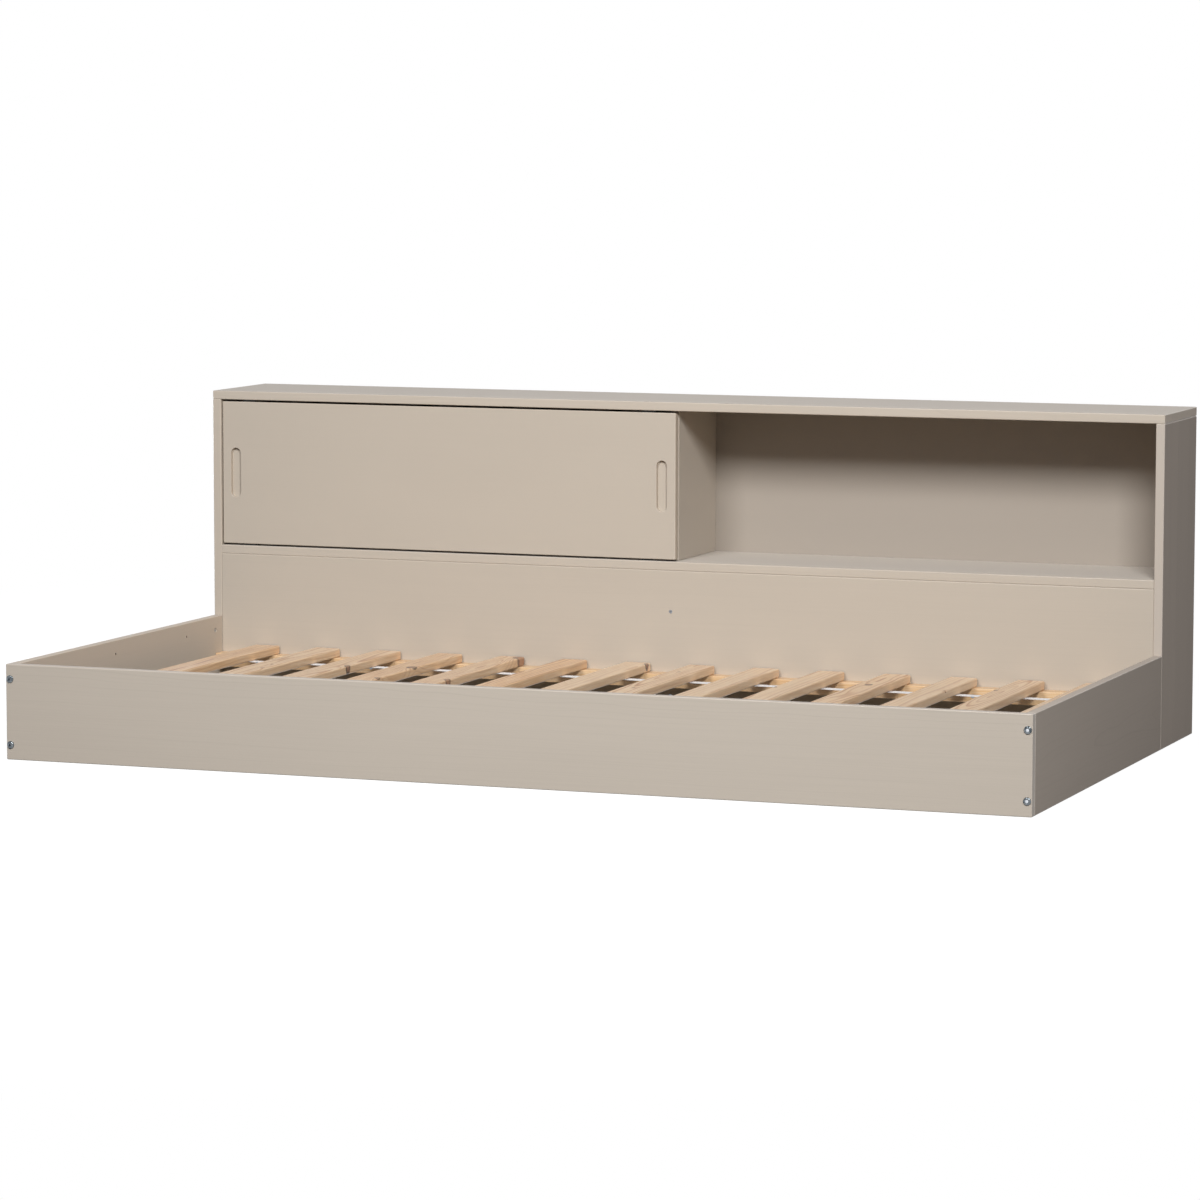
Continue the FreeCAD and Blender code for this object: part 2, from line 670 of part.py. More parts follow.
countersink(back_panel, back_bores, "y", "back_panel_thickness", "back_screw_bore",
            "back_screw_diameter", "back_screw_head")

# Lower panel. It closes the cabinet below the shelf, and the back ledger is screwed to it.
panel = new_board("lower_back_panel", "-1 * half_clear", "2 * half_clear", "panel_thickness",
                  "shelf_underside", y="cabinet_plane")
for side, end in ((-1, "left"), (1, "right")):
    end_start = signed(side, "half_clear + overrun")
    cut_bores(panel, end + "_dowel_bores", "YZ", end_start, -side, "edge_bore_depth + overrun",
              "dowel_bore", [("panel_middle", "low_dowel"), ("panel_middle", "high_dowel")])
    cut_bores(panel, end + "_cam_mouths", "YZ", end_start, -side, "cam_mouth_depth + overrun",
              "cam_mouth_diameter", [("panel_middle", "low_cam"), ("panel_middle", "high_cam")])
cut_bores(panel, "cam_bores", "XZ", "panel_thickness + overrun", -1, "cam_bore_depth + overrun",
          "cam_bore", [(signed(side, "half_clear - cam_distance"), height)
                       for side in SIDES for height in ("low_cam", "high_cam")])
cut_bores(panel, "shelf_dowel_bores", "XY", "shelf_underside + overrun", -1,
          "edge_bore_depth + overrun", "dowel_bore",
          [(across, "panel_middle") for across in panel_dowel_places])
cut_bores(panel, "ledger_screw_bores", "XZ", "-1 * overrun", 1,
          "ledger_screw_bite + bore_end_gap + overrun", "ledger_screw_bore",
          [(across, "ledger_screw_height") for across in ledger_screw_places])
panel_bores = cut_bores(panel, "upright_screw_bores", "XZ", "-1 * overrun", 1,
                        "panel_thickness + 2 * overrun", "panel_screw_bore",
                        [("0", "panel_screw_rise"), ("0", "panel_screw_high")])
countersink(panel, panel_bores, "y", "0", "panel_screw_bore", "panel_screw_diameter",
            "panel_screw_head")

# Centre upright. It stands behind the lower panel and carries the middle of the shelf.
upright = new_board("centre_upright", "-1 * panel_middle", "panel_thickness",
                    "shelf_depth - panel_thickness", "shelf_underside",
                    y="cabinet_plane + panel_thickness")
cut_bores(upright, "dowel_bores", "XY", "shelf_underside + overrun", -1,
          "edge_bore_depth + overrun", "dowel_bore",
          [("0", "dowel_inset"), ("0", "inner_rear_dowel - panel_thickness")])
cut_bores(upright, "screw_bores", "XZ", "-1 * overrun", 1,
          "panel_screw_bite + bore_end_gap + overrun", "panel_screw_bore",
          [("0", "panel_screw_rise"), ("0", "panel_screw_high")])

# Sliding door, with a finger pull cut into its face near each end and nylon pieces let into
# its edges. It starts at its lower left front corner.
door = new_board("sliding_door", "0", "door_width", "door_thickness", "door_height",
                 x="door_left", y="door_plane", z="shelf_height + door_bottom_gap")
pull_sketch = new_sketch(door, "pull_outline", "XZ", "-1 * overrun")
for pull_place in ("pull_inset", "door_width - pull_inset"):
    draw_slot(pull_sketch, pull_place, "door_height / 2", "pull_radius", "pull_height")
pulls = pocket(door, pull_sketch, "XZ", "pull_depth + overrun", 1, "finger_pulls")
rims = mouth_edges(pulls, "y", "0", "pull_width")
finish_edges(door, "Fillet", pulls, rims, "Radius", "pull_rim_round")
glide_places = ("glide_inset", "door_width - glide_inset")
glide_pockets = [centred(across, "door_thickness / 2", "glide_length", "glide_body_width")
                 for across in glide_places]
cut_outlines(door, "glide_pockets", "XY", "-1 * overrun", 1, "glide_body_height + overrun",
             glide_pockets)
cut_outlines(door, "guide_pockets", "XY", "door_height + overrun", -1,
             "glide_body_height + overrun", glide_pockets)


def door_slider(label, rib_height):
    """Make a nylon block with a rib under it. The block's foot lies at the level zero."""
    body = new_body(label)
    sketch = new_sketch(body, "profile", "YZ", "-1 * glide_length / 2")
    block = "glide_body_width / 2"
    rib = "rib_width / 2"
    half = [(block, "glide_body_height"), (block, "0"), (rib, "0"),
            (rib, "-1 * (%s)" % rib_height)]
    draw_outline(sketch, half + [(signed(-1, across), along) for across, along in half[::-1]])
    pad(body, sketch, "glide_length")
    return body


# Glides in the door's lower edge and guides in its upper edge.
groove_line = "cabinet_plane + groove_middle"
new_group("door_glides", door_slider("door_glide", "glide_rib"),
          [("door_left + " + across, groove_line, "shelf_height + door_bottom_gap",
            aim(UP, RIGHT)) for across in glide_places])
new_group("door_guides", door_slider("door_guide", "guide_rib"),
          [("door_left + " + across, groove_line, "top_underside - door_top_gap",
            aim(DOWN, RIGHT)) for across in glide_places])

# Ledgers. They carry the slats, and each is screwed to the board behind it.
for label, start, free_face, free_level in (
        ("front_ledger", "side_start", "ledger_depth", "ledger_depth"),
        ("back_ledger", "cabinet_plane - ledger_depth", "0", "0")):
    ledger = new_board(label, "-1 * ledger_length / 2", "ledger_length", "ledger_depth",
                       "ledger_height", y=start, z="ledger_bottom", radius="ledger_edge_round")
    bores = cut_bores(ledger, "screw_holes", "XZ", "-1 * overrun", 1,
                      "ledger_depth + 2 * overrun", "ledger_screw_bore",
                      [(across, "ledger_screw_rise") for across in ledger_screw_places])
    countersink(ledger, bores, "y", free_level, "ledger_screw_bore", "ledger_screw_diameter",
                "ledger_screw_head")


def leg_outlines(across, along):
    """Return the outlines of a staple's two legs about its middle."""
    return [centred("%s + %s" % (across, signed(side, "staple_leg_place")), along,
                    "staple_wire", "staple_wire") for side in SIDES]


# Slats. They lie loose on the ledgers and take the legs of the staples that hold the tapes.
slat_lefts = ["%s - slat_width / 2" % middle for middle in spaced(SLAT_COUNT, "slat_run")]
for number, left in enumerate(slat_lefts, start=1):
    slat = new_body("slat_%02d" % number, x=left, y="slat_start", z="ledger_top_height")
    sketch = new_sketch(slat, "outline", "XY")
    draw_outline(sketch, rectangle("0", "0", "slat_width", "slat_length"))
    board = pad(slat, sketch, "slat_thickness")
    long_edges = ["Edge%d" % index for index, edge in enumerate(board.Shape.Edges, start=1)
                  if edge.BoundBox.YLength > value("slat_width")]
    finish_edges(slat, "Fillet", board, long_edges, "Radius", "slat_edge_round")
    legs = []
    for along in ("tape_front_middle", "tape_back_middle"):
        legs += leg_outlines("slat_width / 2", along)
    cut_outlines(slat, "staple_leg_holes", "XY", "-1 * overrun", 1,
                 "staple_leg - tape_thickness + overrun", legs)
    pieces.append(slat)

# Tapes that keep the slats spaced. One passes under the slats near each end, and a staple holds
# it to each slat from below.
for label, along in (("front_slat_tape", "tape_front_middle"),
                     ("back_slat_tape", "tape_back_middle")):
    tape = new_body(label, y="slat_start + " + along, z="tape_underside")
    sketch = new_sketch(tape, "outline", "XY")
    draw_outline(sketch, centred("0", "0", "tape_length", "tape_width"))
    pad(tape, sketch, "tape_thickness")
    first_legs = cut_outlines(tape, "staple_leg_holes", "XY", "-1 * overrun", 1,
                              "tape_thickness + 2 * overrun",
                              leg_outlines("-1 * slat_run / 2", "0"))
    row = tape.newObject("PartDesign::LinearPattern", "staple_leg_rows")
    row.Originals = [first_legs]
    row.Direction = (origin_feature(tape, "X_Axis"), [""])
    bind(row, "Length", "slat_run")
    row.Occurrences = SLAT_COUNT
    tape.Tip = row
    pieces.append(tape)

staple = new_body("staple")
staple_sketch = new_sketch(staple, "profile", "XZ", "staple_wire / 2")
outer = "staple_length / 2"
inner = "staple_length / 2 - staple_wire"
half_staple = [(outer, "staple_wire"), (outer, "-1 * staple_leg"), (inner, "-1 * staple_leg"),
               (inner, "0")]
draw_outline(staple_sketch, half_staple + [(signed(-1, across), along)
                                           for across, along in half_staple[::-1]])
pad(staple, staple_sketch, "staple_wire")
new_group("tape_staples", staple,
          [(middle, "slat_start + " + along, "tape_underside", aim(DOWN, RIGHT))
           for along in ("tape_front_middle", "tape_back_middle")
           for middle in spaced(SLAT_COUNT, "slat_run")])

# Front bolts: domed heads with a hexagon socket, lying on the face of the front board.
head_radius = "bolt_head_diameter / 2"
bolt = turned("front_bolt", [
    ("0", "-1 * bolt_head_height"), (head_radius, "-1 * bolt_head_height"), (head_radius, "0"),
    ("bolt_diameter / 2", "0"), ("bolt_diameter / 2", "bolt_length"), ("0", "bolt_length")])
rim = mouth_edges(bolt.Tip, "z", "-1 * bolt_head_height", "bolt_head_diameter")
finish_edges(bolt, "Fillet", bolt.Tip, rim, "Radius", "bolt_head_round")
far = "bolt_socket_radius"
near = "bolt_socket_radius / 2"
rise = "bolt_socket_radius * sqrt(3) / 2"
hexagon = [(far, "0"), (near, rise), (signed(-1, near), rise), (signed(-1, far), "0"),
           (signed(-1, near), signed(-1, rise)), (near, signed(-1, rise))]
cut_outlines(bolt, "socket", "XY", "-1 * (bolt_head_height + overrun)", 1,
             "bolt_socket_depth + overrun", [hexagon])
new_group("front_bolts", bolt,
          [(signed(side, "half_length - bolt_axis"), "front_plane", height, aim(BACK, RIGHT))
           for side in SIDES for height in bolt_heights])

# Studs that join the side boards to the cabinet's sides.
stud = turned("rear_stud", [("0", "0"), ("bolt_diameter / 2", "0"),
                            ("bolt_diameter / 2", "stud_length"), ("0", "stud_length")])
new_group("rear_studs", stud,
          [(signed(side, "half_length - panel_middle"), "cabinet_plane + stud_bite", height,
            aim(FRONT, RIGHT)) for side in SIDES for height in bolt_heights])

# Barrel nuts, cross-bored for the bolts, with a slot in the end that shows.
barrel = turned("barrel_nut", [("0", "0"), ("barrel_diameter / 2", "0"),
                               ("barrel_diameter / 2", "barrel_length"),
                               ("0", "barrel_length")])
cut_bores(barrel, "cross_bore", "YZ", "-1 * (barrel_diameter / 2 + overrun)", 1,
          "barrel_diameter + 2 * overrun", "thread_bore", [("0", "barrel_length / 2")])
cut_outlines(barrel, "slot", "XY", "barrel_length + overrun", -1, "barrel_slot + overrun",
             [centred("0", "0", "barrel_diameter + 2 * overrun", "barrel_slot")])
for label, line, axis in (
        ("front_barrel_nuts", "side_start + barrel_distance", "bolt_axis"),
        ("rear_barrel_nuts", "cabinet_plane - barrel_distance", "panel_middle")):
    new_group(label, barrel,
              [(signed(side, "half_length - %s + barrel_length / 2" % axis), line, height,
                aim((-side, 0, 0), BACK)) for side in SIDES for height in bolt_heights])

# Screws of the ledgers, of the lower panel and the divider, and of the back panel.
ledger_screw = wood_screw("ledger_screw", "ledger_screw_diameter", "ledger_screw_head",
                          "(ledger_depth + ledger_screw_bite)")
new_group("front_ledger_screws", ledger_screw,
          [(across, "side_start + ledger_depth", "ledger_screw_height", aim(FRONT, RIGHT))
           for across in ledger_screw_places])
new_group("back_ledger_screws", ledger_screw,
          [(across, "cabinet_plane - ledger_depth", "ledger_screw_height", aim(BACK, RIGHT))
           for across in ledger_screw_places])
panel_screw = wood_screw("panel_screw", "panel_screw_diameter", "panel_screw_head",
                         "panel_screw_length")
new_group("panel_screws", panel_screw,
          [("0", "cabinet_plane", height, aim(BACK, RIGHT))
           for height in ("panel_screw_rise", "panel_screw_high")])
new_group("divider_screws", panel_screw,
          [("0", "cabinet_plane + " + along, "shelf_underside", aim(UP, RIGHT))
           for along in ("divider_front_screw", "divider_rear_screw")])
back_screw = wood_screw("back_screw", "back_screw_diameter", "back_screw_head",
                        "(back_panel_thickness + back_screw_bite)")
new_group("back_panel_screws", back_screw,
          [(across, "cabinet_plane + cabinet_depth", "shelf_underside + " + height,
            aim(FRONT, RIGHT)) for across, height in back_holes])

# Dowels. The short end is in the face of one board and the long end in the edge of the other.
dowel_radius = "dowel_diameter / 2"
dowel_tip = "dowel_diameter / 2 - dowel_chamfer"
dowel = turned("dowel", [
    ("0", "-1 * dowel_face_bite"), (dowel_tip, "-1 * dowel_face_bite"),
    (dowel_radius, "dowel_chamfer - dowel_face_bite"),
    (dowel_radius, "dowel_edge_bite - dowel_chamfer"),
    (dowel_tip, "dowel_edge_bite"), ("0", "dowel_edge_bite")])
dowel_spots = [(signed(side, "half_length - panel_middle"), "cabinet_plane + " + along,
                "top_underside", aim(DOWN, RIGHT))
               for side in SIDES for along in ("dowel_inset", "rear_dowel")]
dowel_spots += [("0", "cabinet_plane + " + along, "top_underside", aim(DOWN, RIGHT))
                for along in ("divider_front_dowel", "inner_rear_dowel")]
dowel_spots += [("0", "cabinet_plane + " + along, "shelf_underside", aim(DOWN, RIGHT))
                for along in ("upright_front_dowel", "inner_rear_dowel")]
dowel_spots += [(across, "cabinet_plane + panel_middle", "shelf_underside", aim(DOWN, RIGHT))
                for across in panel_dowel_places]
dowel_spots += [(signed(side, "half_clear"), "cabinet_plane + " + along, height,
                 aim((-side, 0, 0), BACK))
                for side in SIDES
                for along, height in (("dowel_inset", "shelf_middle"),
                                      ("rear_dowel", "shelf_middle"),
                                      ("panel_middle", "low_dowel"),
                                      ("panel_middle", "high_dowel"))]
new_group("cabinet_dowels", dowel, dowel_spots)

# Cam bolts stand in the face of one board, and their heads reach into the cams of the other.
bolt_radius = "cam_bolt_diameter / 2"
neck_radius = "cam_bolt_neck / 2"
bolt_head_radius = "cam_bolt_head / 2"
neck_end = "cam_distance"
neck_start = "cam_distance - cam_bolt_neck_length"
cam_bolt = turned("cam_bolt", [
    ("0", "-1 * cam_bolt_bite"), (bolt_radius, "-1 * cam_bolt_bite"), (bolt_radius, neck_start),
    (neck_radius, neck_start), (neck_radius, neck_end), (bolt_head_radius, neck_end),
    (bolt_head_radius, "cam_distance + cam_bolt_head / 2"),
    ("0", "cam_distance + cam_bolt_head / 2")])
cam_bolt_spots = [(signed(side, "half_length - panel_middle"), "cabinet_plane + " + along,
                   "top_underside", aim(DOWN, RIGHT))
                  for side in SIDES for along in ("front_cam", "rear_cam")]
cam_bolt_spots += [(signed(side, "half_clear"), "cabinet_plane + " + along, height,
                    aim((-side, 0, 0), BACK))
                   for side in SIDES
                   for along, height in (("front_cam", "shelf_middle"),
                                         ("rear_cam", "shelf_middle"),
                                         ("panel_middle", "low_cam"),
                                         ("panel_middle", "high_cam"))]
new_group("cam_bolts", cam_bolt, cam_bolt_spots)

# Cams. The visible end with its slot lies at the level zero, and the mouth opens along +X.
cam = turned("cam_lock", [("0", "0"), ("cam_diameter / 2", "0"),
                          ("cam_diameter / 2", "cam_height"), ("0", "cam_height")])
cut_bores(cam, "mouth", "YZ", "cam_diameter / 2 + overrun", -1,
          "cam_diameter / 2 + overrun + cam_bolt_head / 2 + bore_end_gap",
          "cam_mouth_diameter", [("0", "panel_middle - cam_sink")])
cut_outlines(cam, "slot", "XY", "-1 * overrun", 1, "cam_slot_width + overrun",
             [centred("0", "0", "cam_diameter + 2 * overrun", "cam_slot_width")])
cam_spots = [(signed(side, "half_clear + cam_sink"), "cabinet_plane + " + along,
              "top_underside - cam_distance", aim((side, 0, 0), UP))
             for side in SIDES for along in ("front_cam", "rear_cam")]
cam_spots += [(signed(side, "half_clear - cam_distance"), "cabinet_plane + " + along,
               "shelf_underside + cam_sink", aim(UP, (side, 0, 0)))
              for side in SIDES for along in ("front_cam", "rear_cam")]
cam_spots += [(signed(side, "half_clear - cam_distance"),
               "cabinet_plane + panel_thickness - cam_sink", height, aim(FRONT, (side, 0, 0)))
              for side in SIDES for height in ("low_cam", "high_cam")]
new_group("cam_locks", cam, cam_spots)

doc.recompute()

# Every object and shape is checked before anything is written.
for thing in doc.Objects:
    if "Invalid" in thing.State or "Error" in thing.State:
        raise RuntimeError("the object %s did not recompute" % thing.Label)
for piece in pieces:
    if piece.Shape.isNull() or not piece.Shape.isValid():
        raise RuntimeError("the shape of %s is empty or broken" % piece.Label)

os.makedirs("parts", exist_ok=True)
for piece in pieces:
    piece.Shape.exportStep("parts/%s.step" % piece.Label)
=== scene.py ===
import math

import bpy
from mathutils import Matrix, Vector


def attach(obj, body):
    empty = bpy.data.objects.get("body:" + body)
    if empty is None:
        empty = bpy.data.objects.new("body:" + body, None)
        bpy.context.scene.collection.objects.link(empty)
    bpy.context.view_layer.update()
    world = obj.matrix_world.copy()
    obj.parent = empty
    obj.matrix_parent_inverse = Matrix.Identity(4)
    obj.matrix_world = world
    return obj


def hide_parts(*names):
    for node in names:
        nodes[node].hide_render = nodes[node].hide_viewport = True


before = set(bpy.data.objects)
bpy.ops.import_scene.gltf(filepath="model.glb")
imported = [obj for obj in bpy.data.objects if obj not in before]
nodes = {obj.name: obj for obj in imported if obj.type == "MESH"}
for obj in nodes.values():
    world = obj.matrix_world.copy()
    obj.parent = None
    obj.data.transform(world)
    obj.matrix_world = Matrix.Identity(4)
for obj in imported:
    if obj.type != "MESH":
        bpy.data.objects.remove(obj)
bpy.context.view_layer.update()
bpy.ops.object.select_all(action="DESELECT")


# Camera. A long lens looks down a little on the bed's open front and its right-hand end, and takes
# in the whole bed with white all round it. Its yaw, pitch and roll are in degrees.
CAMERA_PLACE = (3.2667, -8.6720, 1.2818)
CAMERA_YAW = 20.784
CAMERA_PITCH = 6.105
CAMERA_ROLL = 0.067
CAMERA_SENSOR = 36.0
CAMERA_REACH = 100.0
LENS_IN_PIXELS = 4735.3
PICTURE_WIDTH = 1200.0
yaw, pitch, roll = (math.radians(angle) for angle in (CAMERA_YAW, CAMERA_PITCH, CAMERA_ROLL))
ahead = Vector((-math.sin(yaw) * math.cos(pitch), math.cos(yaw) * math.cos(pitch),
                -math.sin(pitch)))
level_right = Vector((math.cos(yaw), math.sin(yaw), 0.0))
level_up = level_right.cross(ahead)
camera_right = math.cos(roll) * level_right + math.sin(roll) * level_up
camera_up = -math.sin(roll) * level_right + math.cos(roll) * level_up
camera_data = bpy.data.cameras.new("camera")
camera_data.sensor_width = CAMERA_SENSOR
camera_data.lens = CAMERA_SENSOR * LENS_IN_PIXELS / PICTURE_WIDTH
camera_data.clip_end = CAMERA_REACH
camera = bpy.data.objects.new("camera", camera_data)
bpy.context.collection.objects.link(camera)
facing = Matrix((camera_right, camera_up, -ahead)).transposed()
camera.matrix_world = Matrix.Translation(Vector(CAMERA_PLACE)) @ facing.to_4x4()
bpy.context.scene.camera = camera
bpy.context.scene.view_settings.view_transform = "Standard"


# Studio. A pale matt floor in white surroundings. Two soft boxes hang in front of the bed, a third,
# wide and low, stands behind it to the left and lights its back, and a faint even light fills the
# shadows. A soft box's row has its name, place, aim, width, height and power.
FLOOR_HALF = 30.0
FLOOR_SHADE = (0.14, 0.14, 0.13, 1.0)
WHITE = (1.0, 1.0, 1.0, 1.0)
SHADOW_SHARE = 0.22
SHADOW_REACH = 3.4
SHADOW_WHOLE_WITHIN = 0.4
SHADOW_LESS_WHITE = 0.45
SURROUND_TINGE = (1.0, 0.93, 1.02, 1.0)
SURROUND_STRENGTH = 0.15
SOFT_BOX_SPREAD = 120.0
SOFT_BOXES = (
    ("right_soft_box", (3.0, -4.6, 3.48), (-0.6, 0.1, 0.3), 1.45, 1.45, 122.0),
    ("left_soft_box", (-0.65, -4.6, 3.48), (-0.1, 0.1, 0.3), 1.4, 1.4, 69.0),
    ("rear_soft_box", (-3.2, 4.0, 0.37), (-0.1, 0.6, 0.37), 1.7, 0.5, 100.0),
)


def feed(tree, socket, value):
    """Give an input a fixed value, or join it to another node's output."""
    if isinstance(value, bpy.types.NodeSocket):
        tree.links.new(value, socket)
    else:
        socket.default_value = value


def calc(tree, operation, *parts):
    """Work out a number from other numbers."""
    item = tree.nodes.new("ShaderNodeMath")
    item.operation = operation
    for socket, part in zip(item.inputs, parts):
        feed(tree, socket, part)
    return item.outputs["Value"]


def ease(tree, value, low, high, start=0.0, end=1.0):
    """Step smoothly from start to end while a value goes from low to high."""
    item = tree.nodes.new("ShaderNodeMapRange")
    item.interpolation_type = "SMOOTHSTEP"
    for label, part in (("Value", value), ("From Min", low), ("From Max", high),
                        ("To Min", start), ("To Max", end)):
        feed(tree, item.inputs[label], part)
    return item.outputs["Result"]


def seen_directly(tree):
    """Return 1 for what the camera sees, itself or in metal and glass, and 0 for lighting."""
    path = tree.nodes.new("ShaderNodeLightPath").outputs
    seen = calc(tree, "MAXIMUM", path["Is Camera Ray"], path["Is Glossy Ray"])
    return calc(tree, "MAXIMUM", seen, path["Is Transmission Ray"])


def mix_shaders(tree, share, first, second):
    """Mix two shaders."""
    item = tree.nodes.new("ShaderNodeMixShader")
    feed(tree, item.inputs[0], share)
    tree.links.new(first, item.inputs[1])
    tree.links.new(second, item.inputs[2])
    return item.outputs["Shader"]


bpy.ops.mesh.primitive_plane_add(size=2.0 * FLOOR_HALF, location=(0.0, 0.0, 0.0))
floor = bpy.context.active_object
floor.name = "studio_floor"
floor_finish = bpy.data.materials.new("studio_floor")
floor_finish.use_nodes = True
tree = floor_finish.node_tree
tree.nodes.clear()
lit = tree.nodes.new("ShaderNodeBsdfDiffuse")
lit.inputs["Color"].default_value = FLOOR_SHADE
spot = tree.nodes.new("ShaderNodeVectorMath")
spot.operation = "LENGTH"
tree.links.new(tree.nodes.new("ShaderNodeTexCoord").outputs["Object"], spot.inputs[0])
shadow_share = ease(tree, spot.outputs["Value"], SHADOW_WHOLE_WITHIN * SHADOW_REACH, SHADOW_REACH,
                    SHADOW_SHARE, 0.0)
white = tree.nodes.new("ShaderNodeEmission")
white.inputs["Color"].default_value = WHITE
feed(tree, white.inputs["Strength"],
     calc(tree, "SUBTRACT", 1.0, calc(tree, "MULTIPLY", shadow_share, SHADOW_LESS_WHITE)))
shade = tree.nodes.new("ShaderNodeBsdfDiffuse")
shade_colour = tree.nodes.new("ShaderNodeCombineColor")
for channel in ("Red", "Green", "Blue"):
    tree.links.new(shadow_share, shade_colour.inputs[channel])
tree.links.new(shade_colour.outputs["Color"], shade.inputs["Color"])
backdrop = tree.nodes.new("ShaderNodeAddShader")
tree.links.new(white.outputs["Emission"], backdrop.inputs[0])
tree.links.new(shade.outputs["BSDF"], backdrop.inputs[1])
surface = mix_shaders(tree, seen_directly(tree), lit.outputs["BSDF"], backdrop.outputs["Shader"])
tree.links.new(surface, tree.nodes.new("ShaderNodeOutputMaterial").inputs["Surface"])
floor.data.materials.append(floor_finish)

studio = bpy.data.worlds.new("studio")
bpy.context.scene.world = studio
studio.use_nodes = True
tree = studio.node_tree
tree.nodes.clear()
surround = tree.nodes.new("ShaderNodeBackground")
surround.inputs["Color"].default_value = SURROUND_TINGE
surround.inputs["Strength"].default_value = SURROUND_STRENGTH
backdrop = tree.nodes.new("ShaderNodeBackground")
backdrop.inputs["Color"].default_value = WHITE
backdrop.inputs["Strength"].default_value = 1.0
surface = mix_shaders(tree, seen_directly(tree), surround.outputs["Background"],
                      backdrop.outputs["Background"])
tree.links.new(surface, tree.nodes.new("ShaderNodeOutputWorld").inputs["Surface"])

for name, place, aim, width, height, power in SOFT_BOXES:
    lamp = bpy.data.lights.new(name, "AREA")
    lamp.shape = "RECTANGLE"
    lamp.size = width
    lamp.size_y = height
    lamp.energy = power
    lamp.spread = math.radians(SOFT_BOX_SPREAD)
    holder = bpy.data.objects.new(name, lamp)
    bpy.context.collection.objects.link(holder)
    holder.location = place
    holder.rotation_mode = "QUATERNION"
    holder.rotation_quaternion = (Vector(aim) - Vector(place)).to_track_quat("-Z", "Y")
    holder.visible_camera = False


# Front board and side boards of the bed frame. Planed pine boards on edge, bolted together and
# thinly painted a warm clay grey, so that growth rings and brush still show as fine lines along
# them. Each board's colour differs by painted light: the front board's is darker and greyer, a
# painted shade with a cool painted bounce; the left board's is lighter and warmer, painted warm
# bounce light; the right board's is bluer, painted cool light. The small bores in the side boards
# are near-black inside, a painted shade for their depth.
PAINT = (0.520, 0.461, 0.388, 1.0)
FRONT_PAINT_WITH_PAINTED_SHADE = (0.476, 0.424, 0.362, 1.0)
LEFT_PAINT_WITH_PAINTED_LIGHT = (0.565, 0.488, 0.400, 1.0)
RIGHT_PAINT_WITH_PAINTED_COOL_LIGHT = (0.520, 0.463, 0.402, 1.0)
PAINT_ROUGHNESS = 0.33
PAINT_RELIEF = 0.00008
EDGE_COAT = 0.6
EDGE_COAT_ROUGHNESS = 0.28
EDGE_TURN = (0.995, 0.95)
END_TURN = (0.80, 0.95)
ONE_STAVE = 9.0
# Near-black for the insides of the side boards' bores: painted shade for their depth.
BORE_PAINTED_SHADE = (0.030, 0.020, 0.014, 1.0)
RAIL_HOLES = ((0.1675, 0.158), (-0.1605, 0.158))
RAIL_HOLE_REACH = 0.0027
RAIL_HOLE_MIDDLE = 1.0126
RAIL_HOLE_HALF_DEPTH = 0.0052
BOARD_GRAIN = {
    "front_board": {"middle": (0.0, -0.5875, 0.093), "axes": "XZY", "paint": FRONT_PAINT_WITH_PAINTED_SHADE,
                    "heart": (0.008, 0.115, 0.055), "ring_width": 0.0044, "seed": 3.1,
                    "sheen": 0.30, "ends": 0.0},
    "left_side_board": {"middle": (-1.016, -0.1195, 0.093), "axes": "YZX", "paint": LEFT_PAINT_WITH_PAINTED_LIGHT,
                        "heart": (-0.012, 0.020, 0.060), "ring_width": 0.0028, "seed": 7.7,
                        "grain": 0.6, "sheen": 0.20},
    "right_side_board": {"middle": (1.016, -0.1195, 0.093), "axes": "YZX", "paint": RIGHT_PAINT_WITH_PAINTED_COOL_LIGHT,
                         "heart": (0.014, -0.015, 0.060), "ring_width": 0.0040, "seed": 12.4,
                         "grain": 0.8},
}


def open_group(name, inputs, outputs):
    """Start a shader node group, and return it with its named inputs and outputs."""
    group = bpy.data.node_groups.new(name, "ShaderNodeTree")
    for label, kind, value in inputs:
        socket = group.interface.new_socket(name=label, in_out="INPUT",
                                            socket_type="NodeSocket" + kind)
        socket.default_value = value
    for label, kind in outputs:
        group.interface.new_socket(name=label, in_out="OUTPUT", socket_type="NodeSocket" + kind)
    return (group, group.nodes.new("NodeGroupInput").outputs,
            group.nodes.new("NodeGroupOutput").inputs)


def use_group(tree, group, **values):
    """Place a group in a material or in another group, and return its outputs."""
    item = tree.nodes.new("ShaderNodeGroup")
    item.node_tree = group
    for label, value in values.items():
        feed(tree, item.inputs[label.replace("_", " ")], value)
    return item.outputs


def add_share(tree, base, value, share):
    """Add a share of a value to a number."""
    return calc(tree, "ADD", base, calc(tree, "MULTIPLY", value, share))


def calc_place(tree, operation, *parts):
    """Work out a place, or its length, from other places."""
    item = tree.nodes.new("ShaderNodeVectorMath")
    item.operation = operation
    for socket, part in zip(item.inputs, parts):
        feed(tree, socket, part)
    return item.outputs["Value" if operation == "LENGTH" else "Vector"]


def split(tree, place):
    """Return the three numbers of a place."""
    item = tree.nodes.new("ShaderNodeSeparateXYZ")
    feed(tree, item.inputs["Vector"], place)
    return [item.outputs[axis] for axis in "XYZ"]


def join(tree, *parts):
    """Return the place made of three numbers."""
    item = tree.nodes.new("ShaderNodeCombineXYZ")
    for socket, part in zip(item.inputs, parts):
        feed(tree, socket, part)
    return item.outputs["Vector"]


